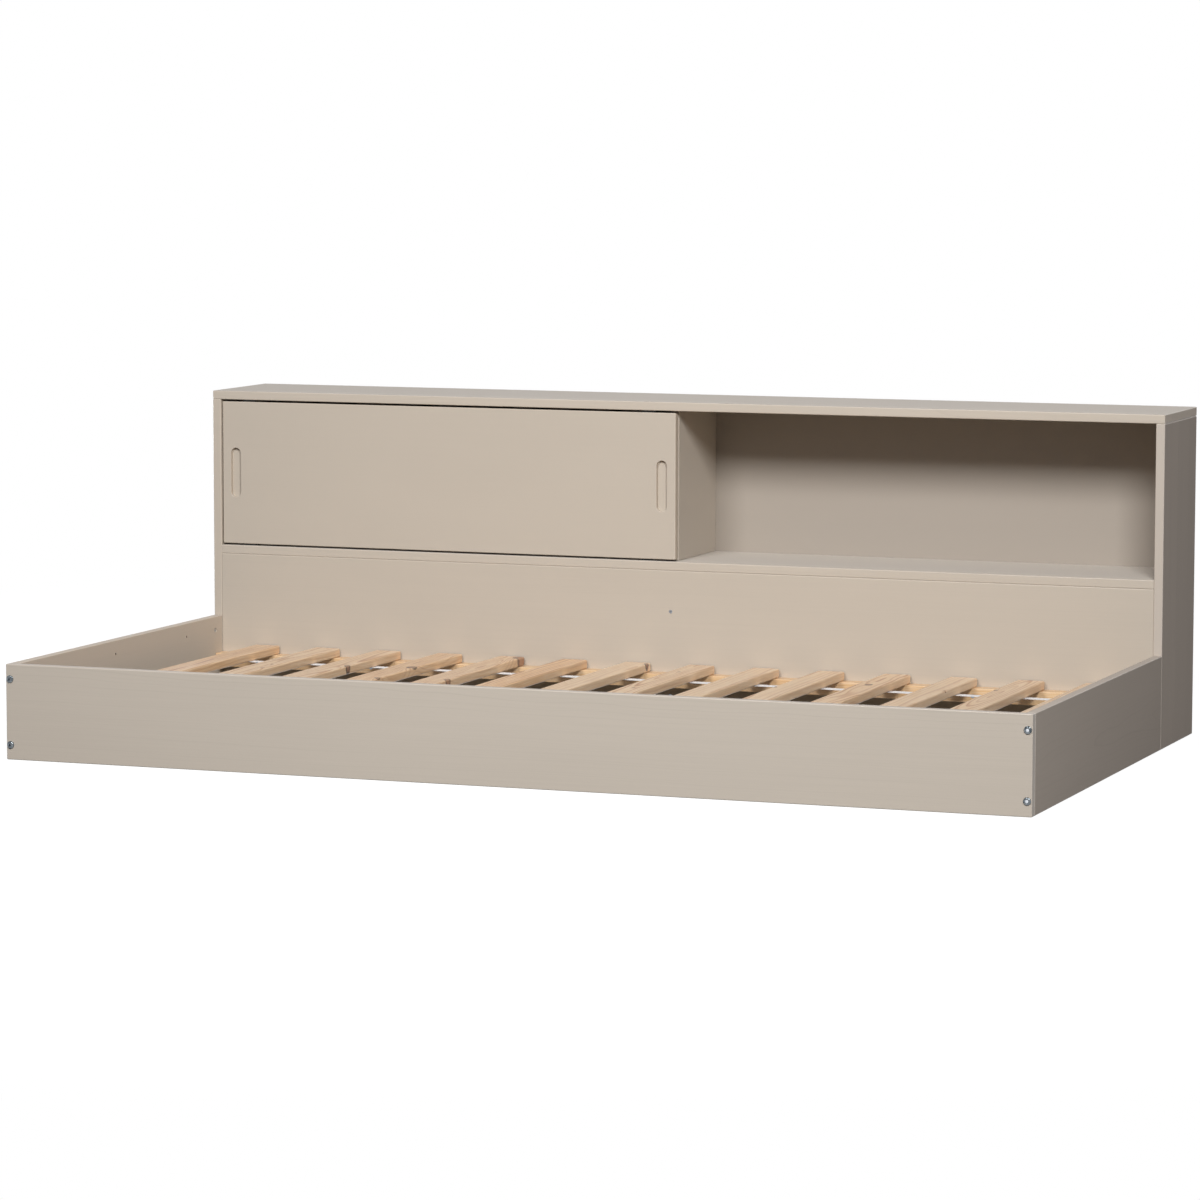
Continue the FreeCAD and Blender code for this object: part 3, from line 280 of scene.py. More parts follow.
def cloud(tree, place, scale, seed, detail=2.0, roughness=0.5):
    """Return soft random patches, from 0 to 1, so many to the metre along each axis."""
    item = tree.nodes.new("ShaderNodeTexNoise")
    item.noise_dimensions = "4D"
    feed(tree, item.inputs["Vector"], calc_place(tree, "MULTIPLY", place, scale))
    feed(tree, item.inputs["W"], seed)
    item.inputs["Scale"].default_value = 1.0
    item.inputs["Detail"].default_value = detail
    item.inputs["Roughness"].default_value = roughness
    return item.outputs


def tint(tree, share, first, second):
    """Mix two colours."""
    item = tree.nodes.new("ShaderNodeMix")
    item.data_type = "RGBA"
    feed(tree, item.inputs["Factor"], share)
    for socket, value in zip([item.inputs[6], item.inputs[7]], (first, second)):
        feed(tree, socket, value)
    return item.outputs[2]


# Growth of pine. Rings lie round a heart that runs along the board and wanders a little, and waves
# in them show as contours. Each knot pushes the rings aside, has a dark rim round its own wood and
# changes its width through the board. Scales are patches to the metre: along, across and through.
HEART_SCALE = (1.5, 5.0, 5.0)
WAVE_SCALE = (6.0, 22.0, 22.0)
CRUMB_SCALE = (150.0, 150.0, 150.0)
UNEVEN_SCALE = (3.0, 40.0, 40.0)
FIBRE_SCALE = (14.0, 420.0, 420.0)
CLOUD_SCALE = (2.2, 9.0, 9.0)
UNEVEN_RINGS = 0.55
LATE_RISE = (0.45, 0.92)
LATE_DROP = (1.0, 0.93)
FAINTEST_RING = 0.35
KNOT_FACE = 0.008
KNOT_LENGTHENED = 0.70
KNOT_RAGGED = 0.5
KNOT_EDGE = (1.0, 0.85)
KNOT_RIM_INSIDE = (0.55, 0.80)
KNOT_RIM_OUTSIDE = (1.25, 1.05)
KNOT_RIM_GAPS = (0.22, 0.42)
PUSH_LENGTHENED = 0.38
PUSH_BASE = 2.718
PUSH_FADE = -0.30
PUSH_WIDTHS = 1.5
FAR_KNOT = (9.0, 0.0, 0.001)
pine_growth, given, result = open_group(
    "pine_growth",
    [("Place", "Vector", (0.0, 0.0, 0.0)), ("Heart", "Vector", (0.0, 0.0, 0.05)),
     ("Ring Width", "Float", 0.004), ("Wander", "Float", 0.03), ("Wave", "Float", 0.0),
     ("Seed", "Float", 0.0), ("Knot", "Vector", FAR_KNOT), ("Second Knot", "Vector", FAR_KNOT),
     ("Knot Taper", "Float", 0.5)],
    [("Late Wood", "Float"), ("Fibre", "Float"), ("Cloud", "Float"), ("Knot Wood", "Float"),
     ("Knot Rim", "Float")])
tree = pine_growth
along, across, through = split(tree, given["Place"])
taper, heart_across, heart_through = split(tree, given["Heart"])
slow = cloud(tree, given["Place"], HEART_SCALE, given["Seed"])
drift = tree.nodes.new("ShaderNodeSeparateColor")
tree.links.new(slow["Color"], drift.inputs["Color"])
sideways, inwards = [
    calc(tree, "MULTIPLY", calc(tree, "SUBTRACT", drift.outputs[channel], 0.5), given["Wander"])
    for channel in ("Red", "Green")]
from_heart = calc(tree, "ADD", calc(tree, "SUBTRACT", across, heart_across), sideways)
depth = calc(tree, "ADD", calc(tree, "SUBTRACT", through, heart_through), inwards)
depth = add_share(tree, depth, taper, along)
radius = calc(tree, "SQRT", calc(tree, "ADD", calc(tree, "MULTIPLY", from_heart, from_heart),
                                 calc(tree, "MULTIPLY", depth, depth)))
wave = cloud(tree, given["Place"], WAVE_SCALE, given["Seed"], 1.0)["Fac"]
radius = add_share(tree, radius, calc(tree, "SUBTRACT", wave, 0.5), given["Wave"])
crumbs = cloud(tree, given["Place"], CRUMB_SCALE, given["Seed"], 1.0)["Fac"]
knot_wood, knot_rim = 0.0, 0.0
for label in ("Knot", "Second Knot"):
    knot_along, knot_across, knot_size = split(tree, given[label])
    off_along = calc(tree, "SUBTRACT", along, knot_along)
    off_across = calc(tree, "SUBTRACT", across, knot_across)
    off_through = calc(tree, "MULTIPLY", calc(tree, "SUBTRACT", through, KNOT_FACE),
                       given["Knot Taper"])
    reach = calc_place(tree, "LENGTH", join(
        tree, calc(tree, "MULTIPLY", off_along, PUSH_LENGTHENED), off_across, 0.0))
    reach = calc(tree, "DIVIDE", reach, knot_size)
    push = calc(tree, "POWER", PUSH_BASE, calc(
        tree, "MULTIPLY", calc(tree, "MULTIPLY", reach, reach), PUSH_FADE))
    radius = add_share(tree, radius, push, calc(tree, "MULTIPLY", knot_size, PUSH_WIDTHS))
    core = calc_place(tree, "LENGTH", join(
        tree, calc(tree, "MULTIPLY", off_along, KNOT_LENGTHENED), off_across, off_through))
    core = add_share(tree, calc(tree, "DIVIDE", core, knot_size),
                     calc(tree, "SUBTRACT", crumbs, 0.5), KNOT_RAGGED)
    knot_wood = calc(tree, "MAXIMUM", knot_wood, ease(tree, core, *KNOT_EDGE))
    rim = calc(tree, "MULTIPLY", ease(tree, core, *KNOT_RIM_INSIDE),
               ease(tree, core, *KNOT_RIM_OUTSIDE))
    knot_rim = calc(tree, "MAXIMUM", knot_rim, rim)
uneven = cloud(tree, given["Place"], UNEVEN_SCALE, given["Seed"])["Fac"]
count = add_share(tree, calc(tree, "DIVIDE", radius, given["Ring Width"]), uneven, UNEVEN_RINGS)
within = calc(tree, "FRACT", count)
late = calc(tree, "MULTIPLY", ease(tree, within, *LATE_RISE), ease(tree, within, *LATE_DROP))
each = tree.nodes.new("ShaderNodeTexWhiteNoise")
each.noise_dimensions = "1D"
tree.links.new(calc(tree, "FLOOR", count), each.inputs["W"])
late = calc(tree, "MULTIPLY", late, add_share(
    tree, FAINTEST_RING, each.outputs["Value"], 1.0 - FAINTEST_RING))
feed(tree, result["Late Wood"], late)
feed(tree, result["Fibre"],
     cloud(tree, given["Place"], FIBRE_SCALE, given["Seed"], 3.0, 0.6)["Fac"])
feed(tree, result["Cloud"], cloud(tree, given["Place"], CLOUD_SCALE, given["Seed"])["Fac"])
feed(tree, result["Knot Wood"], knot_wood)
feed(tree, result["Knot Rim"],
     calc(tree, "MULTIPLY", knot_rim, ease(tree, crumbs, *KNOT_RIM_GAPS)))


# Thin paint. It evens out the pine's colour, leaves its rings as faint hairlines and raised grain,
# and keeps the lines of the brush. It differs a little from stave to stave of a glued-up board, is
# smoother on the rounded edges and lightened there as a painted highlight, soaks into the ends, and
# has a few dark nicks.
BRUSH_SCALE = (4.0, 260.0, 260.0)
STIPPLE_SCALE = (900.0, 900.0, 900.0)
NICK_SCALE = (7.0, 9.0, 9.0)
NICK_SIZE = (0.012, 0.007)
PAINTED_WANDER = 0.040
PAINTED_WAVE = 0.005
STAVE_SHIFT = 0.02
HAIRLINE_SHARPNESS = 2.6
BRUSH_TONE = 0.07
SOAKED_PAINT = (0.500, 0.400, 0.300, 1.0)
SOAKED_SHARE = 0.25
thin_paint, given, result = open_group(
    "thin_paint",
    [("Place", "Vector", (0.0, 0.0, 0.0)), ("Heart", "Vector", (0.0, 0.0, 0.05)),
     ("Ring Width", "Float", 0.004), ("Seed", "Float", 0.0), ("Grain", "Float", 1.0),
     ("Stave Width", "Float", ONE_STAVE), ("Edge", "Float", 0.0), ("End", "Float", 0.0),
     ("Paint", "Color", PAINT)],
    [("Color", "Color"), ("Roughness", "Float"), ("Height", "Float")])
tree = thin_paint
along, across, through = split(tree, given["Place"])
stave = tree.nodes.new("ShaderNodeTexWhiteNoise")
stave.noise_dimensions = "1D"
tree.links.new(calc(tree, "ADD", given["Seed"],
                    calc(tree, "ROUND", calc(tree, "DIVIDE", across, given["Stave Width"]))),
               stave.inputs["W"])
own = calc(tree, "SUBTRACT", stave.outputs["Value"], 0.5)
place = join(tree, along, across, add_share(tree, through, own, STAVE_SHIFT))
wood = use_group(tree, pine_growth, Place=place, Heart=given["Heart"],
                 Ring_Width=given["Ring Width"], Wander=PAINTED_WANDER, Wave=PAINTED_WAVE,
                 Seed=given["Seed"])
brush = cloud(tree, given["Place"], BRUSH_SCALE, given["Seed"], 3.0)["Fac"]
stipple = cloud(tree, given["Place"], STIPPLE_SCALE, given["Seed"], 1.0)["Fac"]
nick = tree.nodes.new("ShaderNodeTexVoronoi")
feed(tree, nick.inputs["Vector"], calc_place(tree, "MULTIPLY", given["Place"], NICK_SCALE))
nicks = ease(tree, nick.outputs["Distance"], *NICK_SIZE)
lines = calc(tree, "MULTIPLY", calc(tree, "POWER", wood["Late Wood"], HAIRLINE_SHARPNESS),
             given["Grain"])
tone = 1.0
# The Edge share lightens the rounded edges: a painted highlight.
for plain, value, share in ((0.5, wood["Cloud"], 0.050), (0.0, lines, -0.052), (0.0, own, 0.045),
                            (0.5, stipple, 0.020), (0.0, given["Edge"], 0.040),
                            (0.0, given["End"], 0.090), (0.0, nicks, -0.30)):
    tone = add_share(tree, tone, calc(tree, "SUBTRACT", value, plain), share)
streak = calc(tree, "MULTIPLY", calc(tree, "SUBTRACT", brush, 0.5), given["Grain"])
tone = add_share(tree, tone, streak, BRUSH_TONE)
colour = tint(tree, calc(tree, "MULTIPLY", given["End"], SOAKED_SHARE), given["Paint"],
              SOAKED_PAINT)
feed(tree, result["Color"], calc_place(tree, "MULTIPLY", colour, join(tree, tone, tone, tone)))
rough = add_share(tree, PAINT_ROUGHNESS, brush, 0.12)
rough = add_share(tree, rough, given["End"], 0.15)
feed(tree, result["Roughness"],
     calc(tree, "SUBTRACT", rough, calc(tree, "MULTIPLY", given["Edge"], 0.08)))
raised = calc(tree, "MULTIPLY", lines, 0.8)
for value, share in ((brush, 0.35), (wood["Fibre"], 0.25), (stipple, 0.12)):
    raised = add_share(tree, raised, value, share)
feed(tree, result["Height"],
     calc(tree, "SUBTRACT", raised, calc(tree, "MULTIPLY", nicks, 1.5)))


def board_place(tree, middle, axes):
    """Return a board's own coordinates: along its grain, across its face and through it."""
    place = tree.nodes.new("ShaderNodeTexCoord").outputs["Object"]
    parts = dict(zip("XYZ", split(tree, calc_place(tree, "SUBTRACT", place, middle))))
    return join(tree, *[parts[axis] for axis in axes])


def edge_and_end(tree, axes):
    """Return 1 on a board's rounded edges, and 1 on its two ends, which face along its grain."""
    facing = calc_place(tree, "ABSOLUTE",
                        tree.nodes.new("ShaderNodeNewGeometry").outputs["True Normal"])
    parts = dict(zip("XYZ", split(tree, facing)))
    flattest = calc(tree, "MAXIMUM", parts["X"], calc(tree, "MAXIMUM", parts["Y"], parts["Z"]))
    return ease(tree, flattest, *EDGE_TURN), ease(tree, parts[axes[0]], *END_TURN)


def raise_surface(tree, shader, height, depth):
    """Raise a surface by a height from 0 to 1 times a depth in metres."""
    bump = tree.nodes.new("ShaderNodeBump")
    bump.inputs["Strength"].default_value = 1.0
    bump.inputs["Distance"].default_value = depth
    tree.links.new(height, bump.inputs["Height"])
    tree.links.new(bump.outputs["Normal"], shader.inputs["Normal"])


def new_finish(name):
    """Start a material, and return it with its node tree and its shader."""
    material = bpy.data.materials.new(name)
    material.use_nodes = True
    return material, material.node_tree, material.node_tree.nodes["Principled BSDF"]


def dress(node, material):
    """Give a CAD board or fitting its finish."""
    nodes[node].data.materials.clear()
    nodes[node].data.materials.append(material)


def in_rail_holes(tree):
    """Return 1 in the bores of the side boards' rail holes, and 0 on the boards' faces."""
    x, y, z = split(tree, tree.nodes.new("ShaderNodeTexCoord").outputs["Object"])
    near = 1.0
    for hole_y, hole_z in RAIL_HOLES:
        off = join(tree, calc(tree, "SUBTRACT", y, hole_y), calc(tree, "SUBTRACT", z, hole_z), 0.0)
        near = calc(tree, "MINIMUM", near, calc_place(tree, "LENGTH", off))
    sunk = calc(tree, "COMPARE", calc(tree, "ABSOLUTE", x), RAIL_HOLE_MIDDLE,
                RAIL_HOLE_HALF_DEPTH)
    return calc(tree, "MULTIPLY", sunk, calc(tree, "LESS_THAN", near, RAIL_HOLE_REACH))


def paint_board(node, middle, axes, heart, ring_width, seed, grain=1.0, stave_width=ONE_STAVE,
                shine=0.0, sheen=0.0, paint=PAINT, ends=1.0):
    """Paint a board over its own growth. Its rounded edges gleam a little: coat, painted highlight.
    """
    material, tree, shader = new_finish("paint_" + node)
    edge, end = edge_and_end(tree, axes)
    end = calc(tree, "MULTIPLY", end, ends)
    if node.endswith("side_board"):
        # Inside the rail holes the colour turns near-black: painted shade for their depth.
        paint = tint(tree, in_rail_holes(tree), paint, BORE_PAINTED_SHADE)
    coat = use_group(tree, thin_paint, Place=board_place(tree, middle, axes), Heart=heart,
                     Ring_Width=ring_width, Seed=seed, Grain=grain, Stave_Width=stave_width,
                     Edge=edge, End=end, Paint=paint)
    tree.links.new(coat["Color"], shader.inputs["Base Color"])
    tree.links.new(coat["Roughness"], shader.inputs["Roughness"])
    shader.inputs["Specular IOR Level"].default_value = shine
    shader.inputs["Sheen Weight"].default_value = sheen
    feed(tree, shader.inputs["Coat Weight"], calc(tree, "MULTIPLY", edge, EDGE_COAT))
    shader.inputs["Coat Roughness"].default_value = EDGE_COAT_ROUGHNESS
    raise_surface(tree, shader, coat["Height"], PAINT_RELIEF)
    dress(node, material)


for node, grain in BOARD_GRAIN.items():
    paint_board(node, **grain)


# Cabinet: two upright sides, a top and a shelf between them, a wide panel below the shelf, a
# divider above it and an upright behind the panel. All are pine, painted like the bed frame and
# joined with dowels and cam fittings. The wide ones are glued up, and the level ones shine most.
CABINET_GRAIN = {
    "cabinet_top": {"middle": (0.0, 0.4695, 0.651), "axes": "XYZ", "stave_width": 0.052,
                    "heart": (0.006, 0.030, 0.045), "ring_width": 0.0030, "seed": 21.0,
                    "shine": 0.05, "sheen": 0.07},
    "cabinet_shelf": {"middle": (0.0, 0.465, 0.326), "axes": "XYZ", "stave_width": 0.048,
                      "heart": (0.008, -0.020, 0.050), "ring_width": 0.0032, "seed": 27.0,
                      "shine": 0.05, "sheen": 0.30},
    "lower_back_panel": {"middle": (0.0, 0.3485, 0.158), "axes": "XZY", "grain": 0.5,
                         "heart": (0.006, 0.260, 0.040), "ring_width": 0.0042, "seed": 33.0},
    "cabinet_left_side": {"middle": (-1.016, 0.4695, 0.33), "axes": "ZYX", "stave_width": 0.047,
                          "heart": (0.020, 0.050, 0.060), "ring_width": 0.0034, "seed": 38.0,
                          "grain": 0.8},
    # The right side takes the right board's bluer colour too: painted cool light.
    "cabinet_right_side": {"middle": (1.016, 0.4695, 0.33), "axes": "ZYX", "stave_width": 0.044,
                           "heart": (0.022, -0.030, 0.055), "ring_width": 0.0030, "seed": 44.0,
                           "grain": 0.8, "paint": RIGHT_PAINT_WITH_PAINTED_COOL_LIGHT},
    "cabinet_divider": {"middle": (0.0, 0.477, 0.4885), "axes": "ZYX", "grain": 0.4,
                        "heart": (0.020, 0.020, 0.050), "ring_width": 0.0032, "seed": 51.0,
                        "shine": 0.05, "sheen": 0.10},
    "centre_upright": {"middle": (0.0, 0.474, 0.1585), "axes": "ZYX", "grain": 0.8,
                       "heart": (0.020, 0.030, 0.050), "ring_width": 0.0034, "seed": 57.0},
}
for node, grain in CABINET_GRAIN.items():
    paint_board(node, **grain)


# Back panel and sliding door. Both are flat boards with a smooth sprayed coat of the same paint;
# the panel's colour is darker, a painted shade for its place at the back of the compartment. The
# panel lies in rebates, and the door runs in grooves of the shelf and the top.
BACK_PANEL_PAINT_WITH_PAINTED_SHADE = (0.398, 0.353, 0.306, 1.0)
SMOOTH_BOARD_GRAIN = {
    "cabinet_back_panel": {"middle": (0.0, 0.595, 0.4885), "axes": "XZY", "grain": 0.08,
                           "heart": (0.0, 0.0, 0.08), "ring_width": 0.012, "seed": 61.0,
                           "shine": 0.02, "paint": BACK_PANEL_PAINT_WITH_PAINTED_SHADE},
    "sliding_door": {"middle": (-0.4985, 0.3525, 0.488), "axes": "XZY", "grain": 0.25,
                     "heart": (0.004, 0.30, 0.06), "ring_width": 0.004, "seed": 66.0,
                     "shine": 0.02},
}
for node, grain in SMOOTH_BOARD_GRAIN.items():
    paint_board(node, **grain)


# Ledgers and slats. Planed pine, left raw: two battens screwed to the frame, and fourteen slats
# that lie loose on them. Each has its own place in the tree, its own warmth and figure, and knots
# where the photograph shows them: along from the slat's middle, across it, and half the width.
PALE_WOOD = (0.760, 0.565, 0.370, 1.0)
PALEST_FIBRE = (0.860, 0.740, 0.590, 1.0)
WARM_WOOD = (0.740, 0.470, 0.245, 1.0)
YELLOW_WOOD = (0.790, 0.560, 0.290, 1.0)
LATE_WOOD = (0.460, 0.215, 0.085, 1.0)
KNOT_WOOD = (0.200, 0.070, 0.030, 1.0)
KNOT_RIM = (0.030, 0.010, 0.004, 1.0)
KNOT_WOOD_SHARE = 0.90
KNOT_RIM_SHARE = 0.95
EDGE_AND_END_SHARE = 0.15
RAW_WANDER = 0.030
RAW_ROUGHNESS = 0.42
RAW_SHINE = 0.80
RAW_SHEEN = 0.10
RAW_RELIEF = 0.00012
LEVEL_TURN = (0.3, 0.9)
SIDE_FIGURE = 0.45
TOP_FIGURE = 1.7
# The sides' added warmth is a painted warm shade.
SIDE_PAINTED_WARM_SHADE = 0.35
SLAT_MIDDLE_Y = -0.1195
SLAT_MIDDLE_Z = 0.118
SLAT_RUN = 1.8
FIRST_SLAT_SEED = 100.0
SLAT_SEED_STEP = 7.3
NO_KNOT = FAR_KNOT
# Each row: heart, ring width, knot, second knot,
# and how much the knots narrow with depth, their darkness, warmth, figure and wave of the rings.
SLAT_GRAIN = (
    ((0.012, 0.004, 0.022), 0.0045, NO_KNOT, NO_KNOT,
     0.5, 0.9, 0.45, 0.9, 0.010),
    ((0.010, -0.006, 0.030), 0.0060, (0.150, 0.012, 0.0030), (0.088, 0.019, 0.0040),
     1.0, 0.3, 0.20, 0.8, 0.012),
    ((0.006, 0.020, 0.045), 0.0056, (0.182, 0.0280, 0.0070), (-0.210, -0.010, 0.006),
     0.4, 1.0, 0.10, 0.6, 0.006),
    ((0.016, 0.002, 0.018), 0.0056, (0.020, 0.0250, 0.0060), (0.205, 0.0205, 0.0092),
     2.0, 1.0, 0.45, 1.0, 0.022),
    ((0.014, 0.008, 0.020), 0.0056, (0.045, 0.0290, 0.0080), (0.440, 0.0270, 0.0150),
     0.5, 0.5, 0.20, 1.0, 0.018),
    ((0.004, -0.030, 0.026), 0.0080, (-0.310, 0.012, 0.007), NO_KNOT,
     0.5, 0.0, 1.00, 1.0, 0.022),
    ((0.006, 0.026, 0.052), 0.0060, (0.433, 0.0285, 0.0060), (-0.120, -0.014, 0.005),
     0.5, 1.0, 0.0, 0.4, 0.004),
    ((0.020, -0.004, 0.024), 0.0060, (0.058, -0.001, 0.0030), (0.330, -0.004, 0.0030),
     1.0, 0.6, 0.0, 0.9, 0.014),
    ((0.005, 0.034, 0.040), 0.0090, NO_KNOT, NO_KNOT,
     0.5, 0.0, 0.0, 0.4, 0.004),
    ((0.005, -0.026, 0.045), 0.0090, (0.169, -0.0240, 0.0045), NO_KNOT,
     1.0, 1.0, 0.0, 0.5, 0.008),
    ((0.012, 0.000, 0.020), 0.0100, (0.270, -0.0014, 0.0070), (-0.180, 0.010, 0.006),
     1.0, 1.0, 0.25, 1.0, 0.034),
    ((0.006, 0.022, 0.038), 0.0080, (0.235, 0.0270, 0.0030), NO_KNOT,
     1.0, 0.0, 0.05, 0.5, 0.008),
    ((0.080, -0.004, 0.030), 0.0066, (0.276, -0.0220, 0.0045), NO_KNOT,
     1.0, 0.7, 0.15, 0.7, 0.004),
    ((0.008, 0.012, 0.030), 0.0056, NO_KNOT, NO_KNOT,
     0.5, 0.0, 0.0, 0.5, 0.004),
)
SLAT_GAPS = len(SLAT_GRAIN) - 1
LEDGER_FIGURE = {"axes": "XYZ", "second_knot": NO_KNOT, "knot_taper": 0.5, "knot_dark": 0.7,
                 "warmth": 0.3, "figure": 0.8, "wave": 0.006, "pale": YELLOW_WOOD}
LEDGER_GRAIN = {
    "front_ledger": {"middle": (0.0, -0.5615, 0.097), "heart": (0.004, 0.02, 0.03),
                     "ring_width": 0.0036, "seed": 80.0, "knot": (-0.42, 0.0, 0.006)},
    "back_ledger": {"middle": (0.0, 0.3225, 0.097), "heart": (0.004, -0.02, 0.03),
                    "ring_width": 0.0034, "seed": 85.0, "knot": (0.86, 0.004, 0.006)},
}

raw_pine, given, result = open_group(
    "raw_pine",
    [("Place", "Vector", (0.0, 0.0, 0.0)), ("Heart", "Vector", (0.0, 0.0, 0.05)),
     ("Ring Width", "Float", 0.004), ("Seed", "Float", 0.0), ("Knot", "Vector", NO_KNOT),
     ("Second Knot", "Vector", NO_KNOT), ("Knot Taper", "Float", 0.5),
     ("Knot Dark", "Float", 1.0), ("Warmth", "Float", 0.3),
     ("Figure", "Float", 0.5), ("Wave", "Float", 0.0), ("Edge", "Float", 0.0),
     ("End", "Float", 0.0), ("Pale", "Color", PALE_WOOD)],
    [("Color", "Color"), ("Roughness", "Float"), ("Height", "Float")])
tree = raw_pine
wood = use_group(tree, pine_growth, Place=given["Place"], Heart=given["Heart"],
                 Ring_Width=given["Ring Width"], Wander=RAW_WANDER, Wave=given["Wave"],
                 Seed=given["Seed"], Knot=given["Knot"], Second_Knot=given["Second Knot"],
                 Knot_Taper=given["Knot Taper"])
warmth = calc(tree, "ADD", given["Warmth"], ease(tree, wood["Cloud"], 0.30, 0.70, -0.20, 0.25))
colour = tint(tree, warmth, given["Pale"], WARM_WOOD)
colour = tint(tree, ease(tree, wood["Fibre"], 0.56, 0.36, 0.0, 0.30), colour, PALEST_FIBRE)
colour = tint(tree, ease(tree, wood["Fibre"], 0.52, 0.78, 0.0, 0.30), colour, LATE_WOOD)
colour = tint(tree, calc(tree, "MULTIPLY", wood["Late Wood"], given["Figure"]), colour, LATE_WOOD)
own_knot = tint(tree, given["Knot Dark"], LATE_WOOD, KNOT_WOOD)
own_rim = tint(tree, given["Knot Dark"], KNOT_WOOD, KNOT_RIM)
for mask, share, over in ((wood["Knot Wood"], KNOT_WOOD_SHARE, own_knot),
                          (wood["Knot Rim"], KNOT_RIM_SHARE, own_rim),
                          # Rounded edges are tinted paler: a painted highlight.
                          (given["Edge"], EDGE_AND_END_SHARE, PALE_WOOD),
                          (given["End"], EDGE_AND_END_SHARE, LATE_WOOD)):
    colour = tint(tree, calc(tree, "MULTIPLY", mask, share), colour, over)
feed(tree, result["Color"], colour)
feed(tree, result["Roughness"],
     calc(tree, "SUBTRACT", RAW_ROUGHNESS, calc(tree, "MULTIPLY", wood["Late Wood"], 0.12)))
raised = add_share(tree, calc(tree, "MULTIPLY", wood["Late Wood"], 0.5), wood["Fibre"], 0.6)
feed(tree, result["Height"], calc(tree, "SUBTRACT", raised, wood["Knot Rim"]))


def leave_raw(node, middle, axes, heart, ring_width, seed, knot, second_knot, knot_taper,
              knot_dark, warmth, figure, wave, pale=PALE_WOOD):
    """Give one batten or slat its raw pine: sides plainer than the top, with painted warm shade."""
    material, tree, shader = new_finish("raw_pine_" + node)
    edge, end = edge_and_end(tree, axes)
    upward = split(tree, tree.nodes.new("ShaderNodeNewGeometry").outputs["True Normal"])[2]
    level = calc(tree, "ABSOLUTE", upward)
    figure = ease(tree, level, *LEVEL_TURN, SIDE_FIGURE * figure, TOP_FIGURE * figure)
    # Sides get extra warmth: a painted warm shade.
    warmth = ease(tree, level, *LEVEL_TURN, warmth + SIDE_PAINTED_WARM_SHADE, warmth)
    wood = use_group(tree, raw_pine, Place=board_place(tree, middle, axes), Heart=heart,
                     Ring_Width=ring_width, Seed=seed, Knot=knot, Second_Knot=second_knot,
                     Knot_Taper=knot_taper, Knot_Dark=knot_dark, Warmth=warmth, Figure=figure,
                     Wave=wave, Edge=edge, End=end, Pale=pale)
    tree.links.new(wood["Color"], shader.inputs["Base Color"])
    tree.links.new(wood["Roughness"], shader.inputs["Roughness"])
    shader.inputs["Specular IOR Level"].default_value = RAW_SHINE
    shader.inputs["Sheen Weight"].default_value = RAW_SHEEN
    raise_surface(tree, shader, wood["Height"], RAW_RELIEF)
    dress(node, material)


for number, (heart, ring_width, *rest) in enumerate(SLAT_GRAIN):
    slat_x = SLAT_RUN * (number / SLAT_GAPS - 0.5)
    leave_raw("slat_%02d" % (number + 1), (slat_x, SLAT_MIDDLE_Y, SLAT_MIDDLE_Z), "YXZ", heart,
              ring_width, FIRST_SLAT_SEED + SLAT_SEED_STEP * number, *rest)
for node, grain in LEDGER_GRAIN.items():
    leave_raw(node, **grain, **LEDGER_FIGURE)


# Slat tapes. Two lengths of white woven polyester webbing pass under the slats and keep them
# spaced. Each is pulled nearly straight, hangs a little between the slats, and has firm edges.
TAPE_LENGTH = 1.840
TAPE_WIDTH = 0.025
TAPE_THICKNESS = 0.0008
TAPE_LEVEL = 0.10855
TAPE_STEPS_ALONG = 184
TAPE_STEPS_ACROSS = 8
TAPE_EDGE = 0.00025
TAPE_CREASE_ANGLE = 40.0
TAPE_MIDDLES = {"front_slat_tape": -0.4405, "back_slat_tape": 0.2015}
TAPE_SAGS = ((0.030, -0.00010), (0.021, -0.00010), (0.011, -0.00006))
WEBBING = (0.820, 0.820, 0.830, 1.0)
# Darker colour for the hollows between threads: painted shade.
WEBBING_PAINTED_HOLLOW_SHADE = (0.56, 0.56, 0.60, 1.0)
WEBBING_FUZZ = (0.90, 0.90, 0.90, 1.0)
WEBBING_SHEEN = 0.25
WEBBING_RELIEF = 0.00018
WARP_PITCH = 0.0011
WEFT_PITCH = 0.0016
FUZZ_SCALE = (900.0, 2500.0, 900.0)


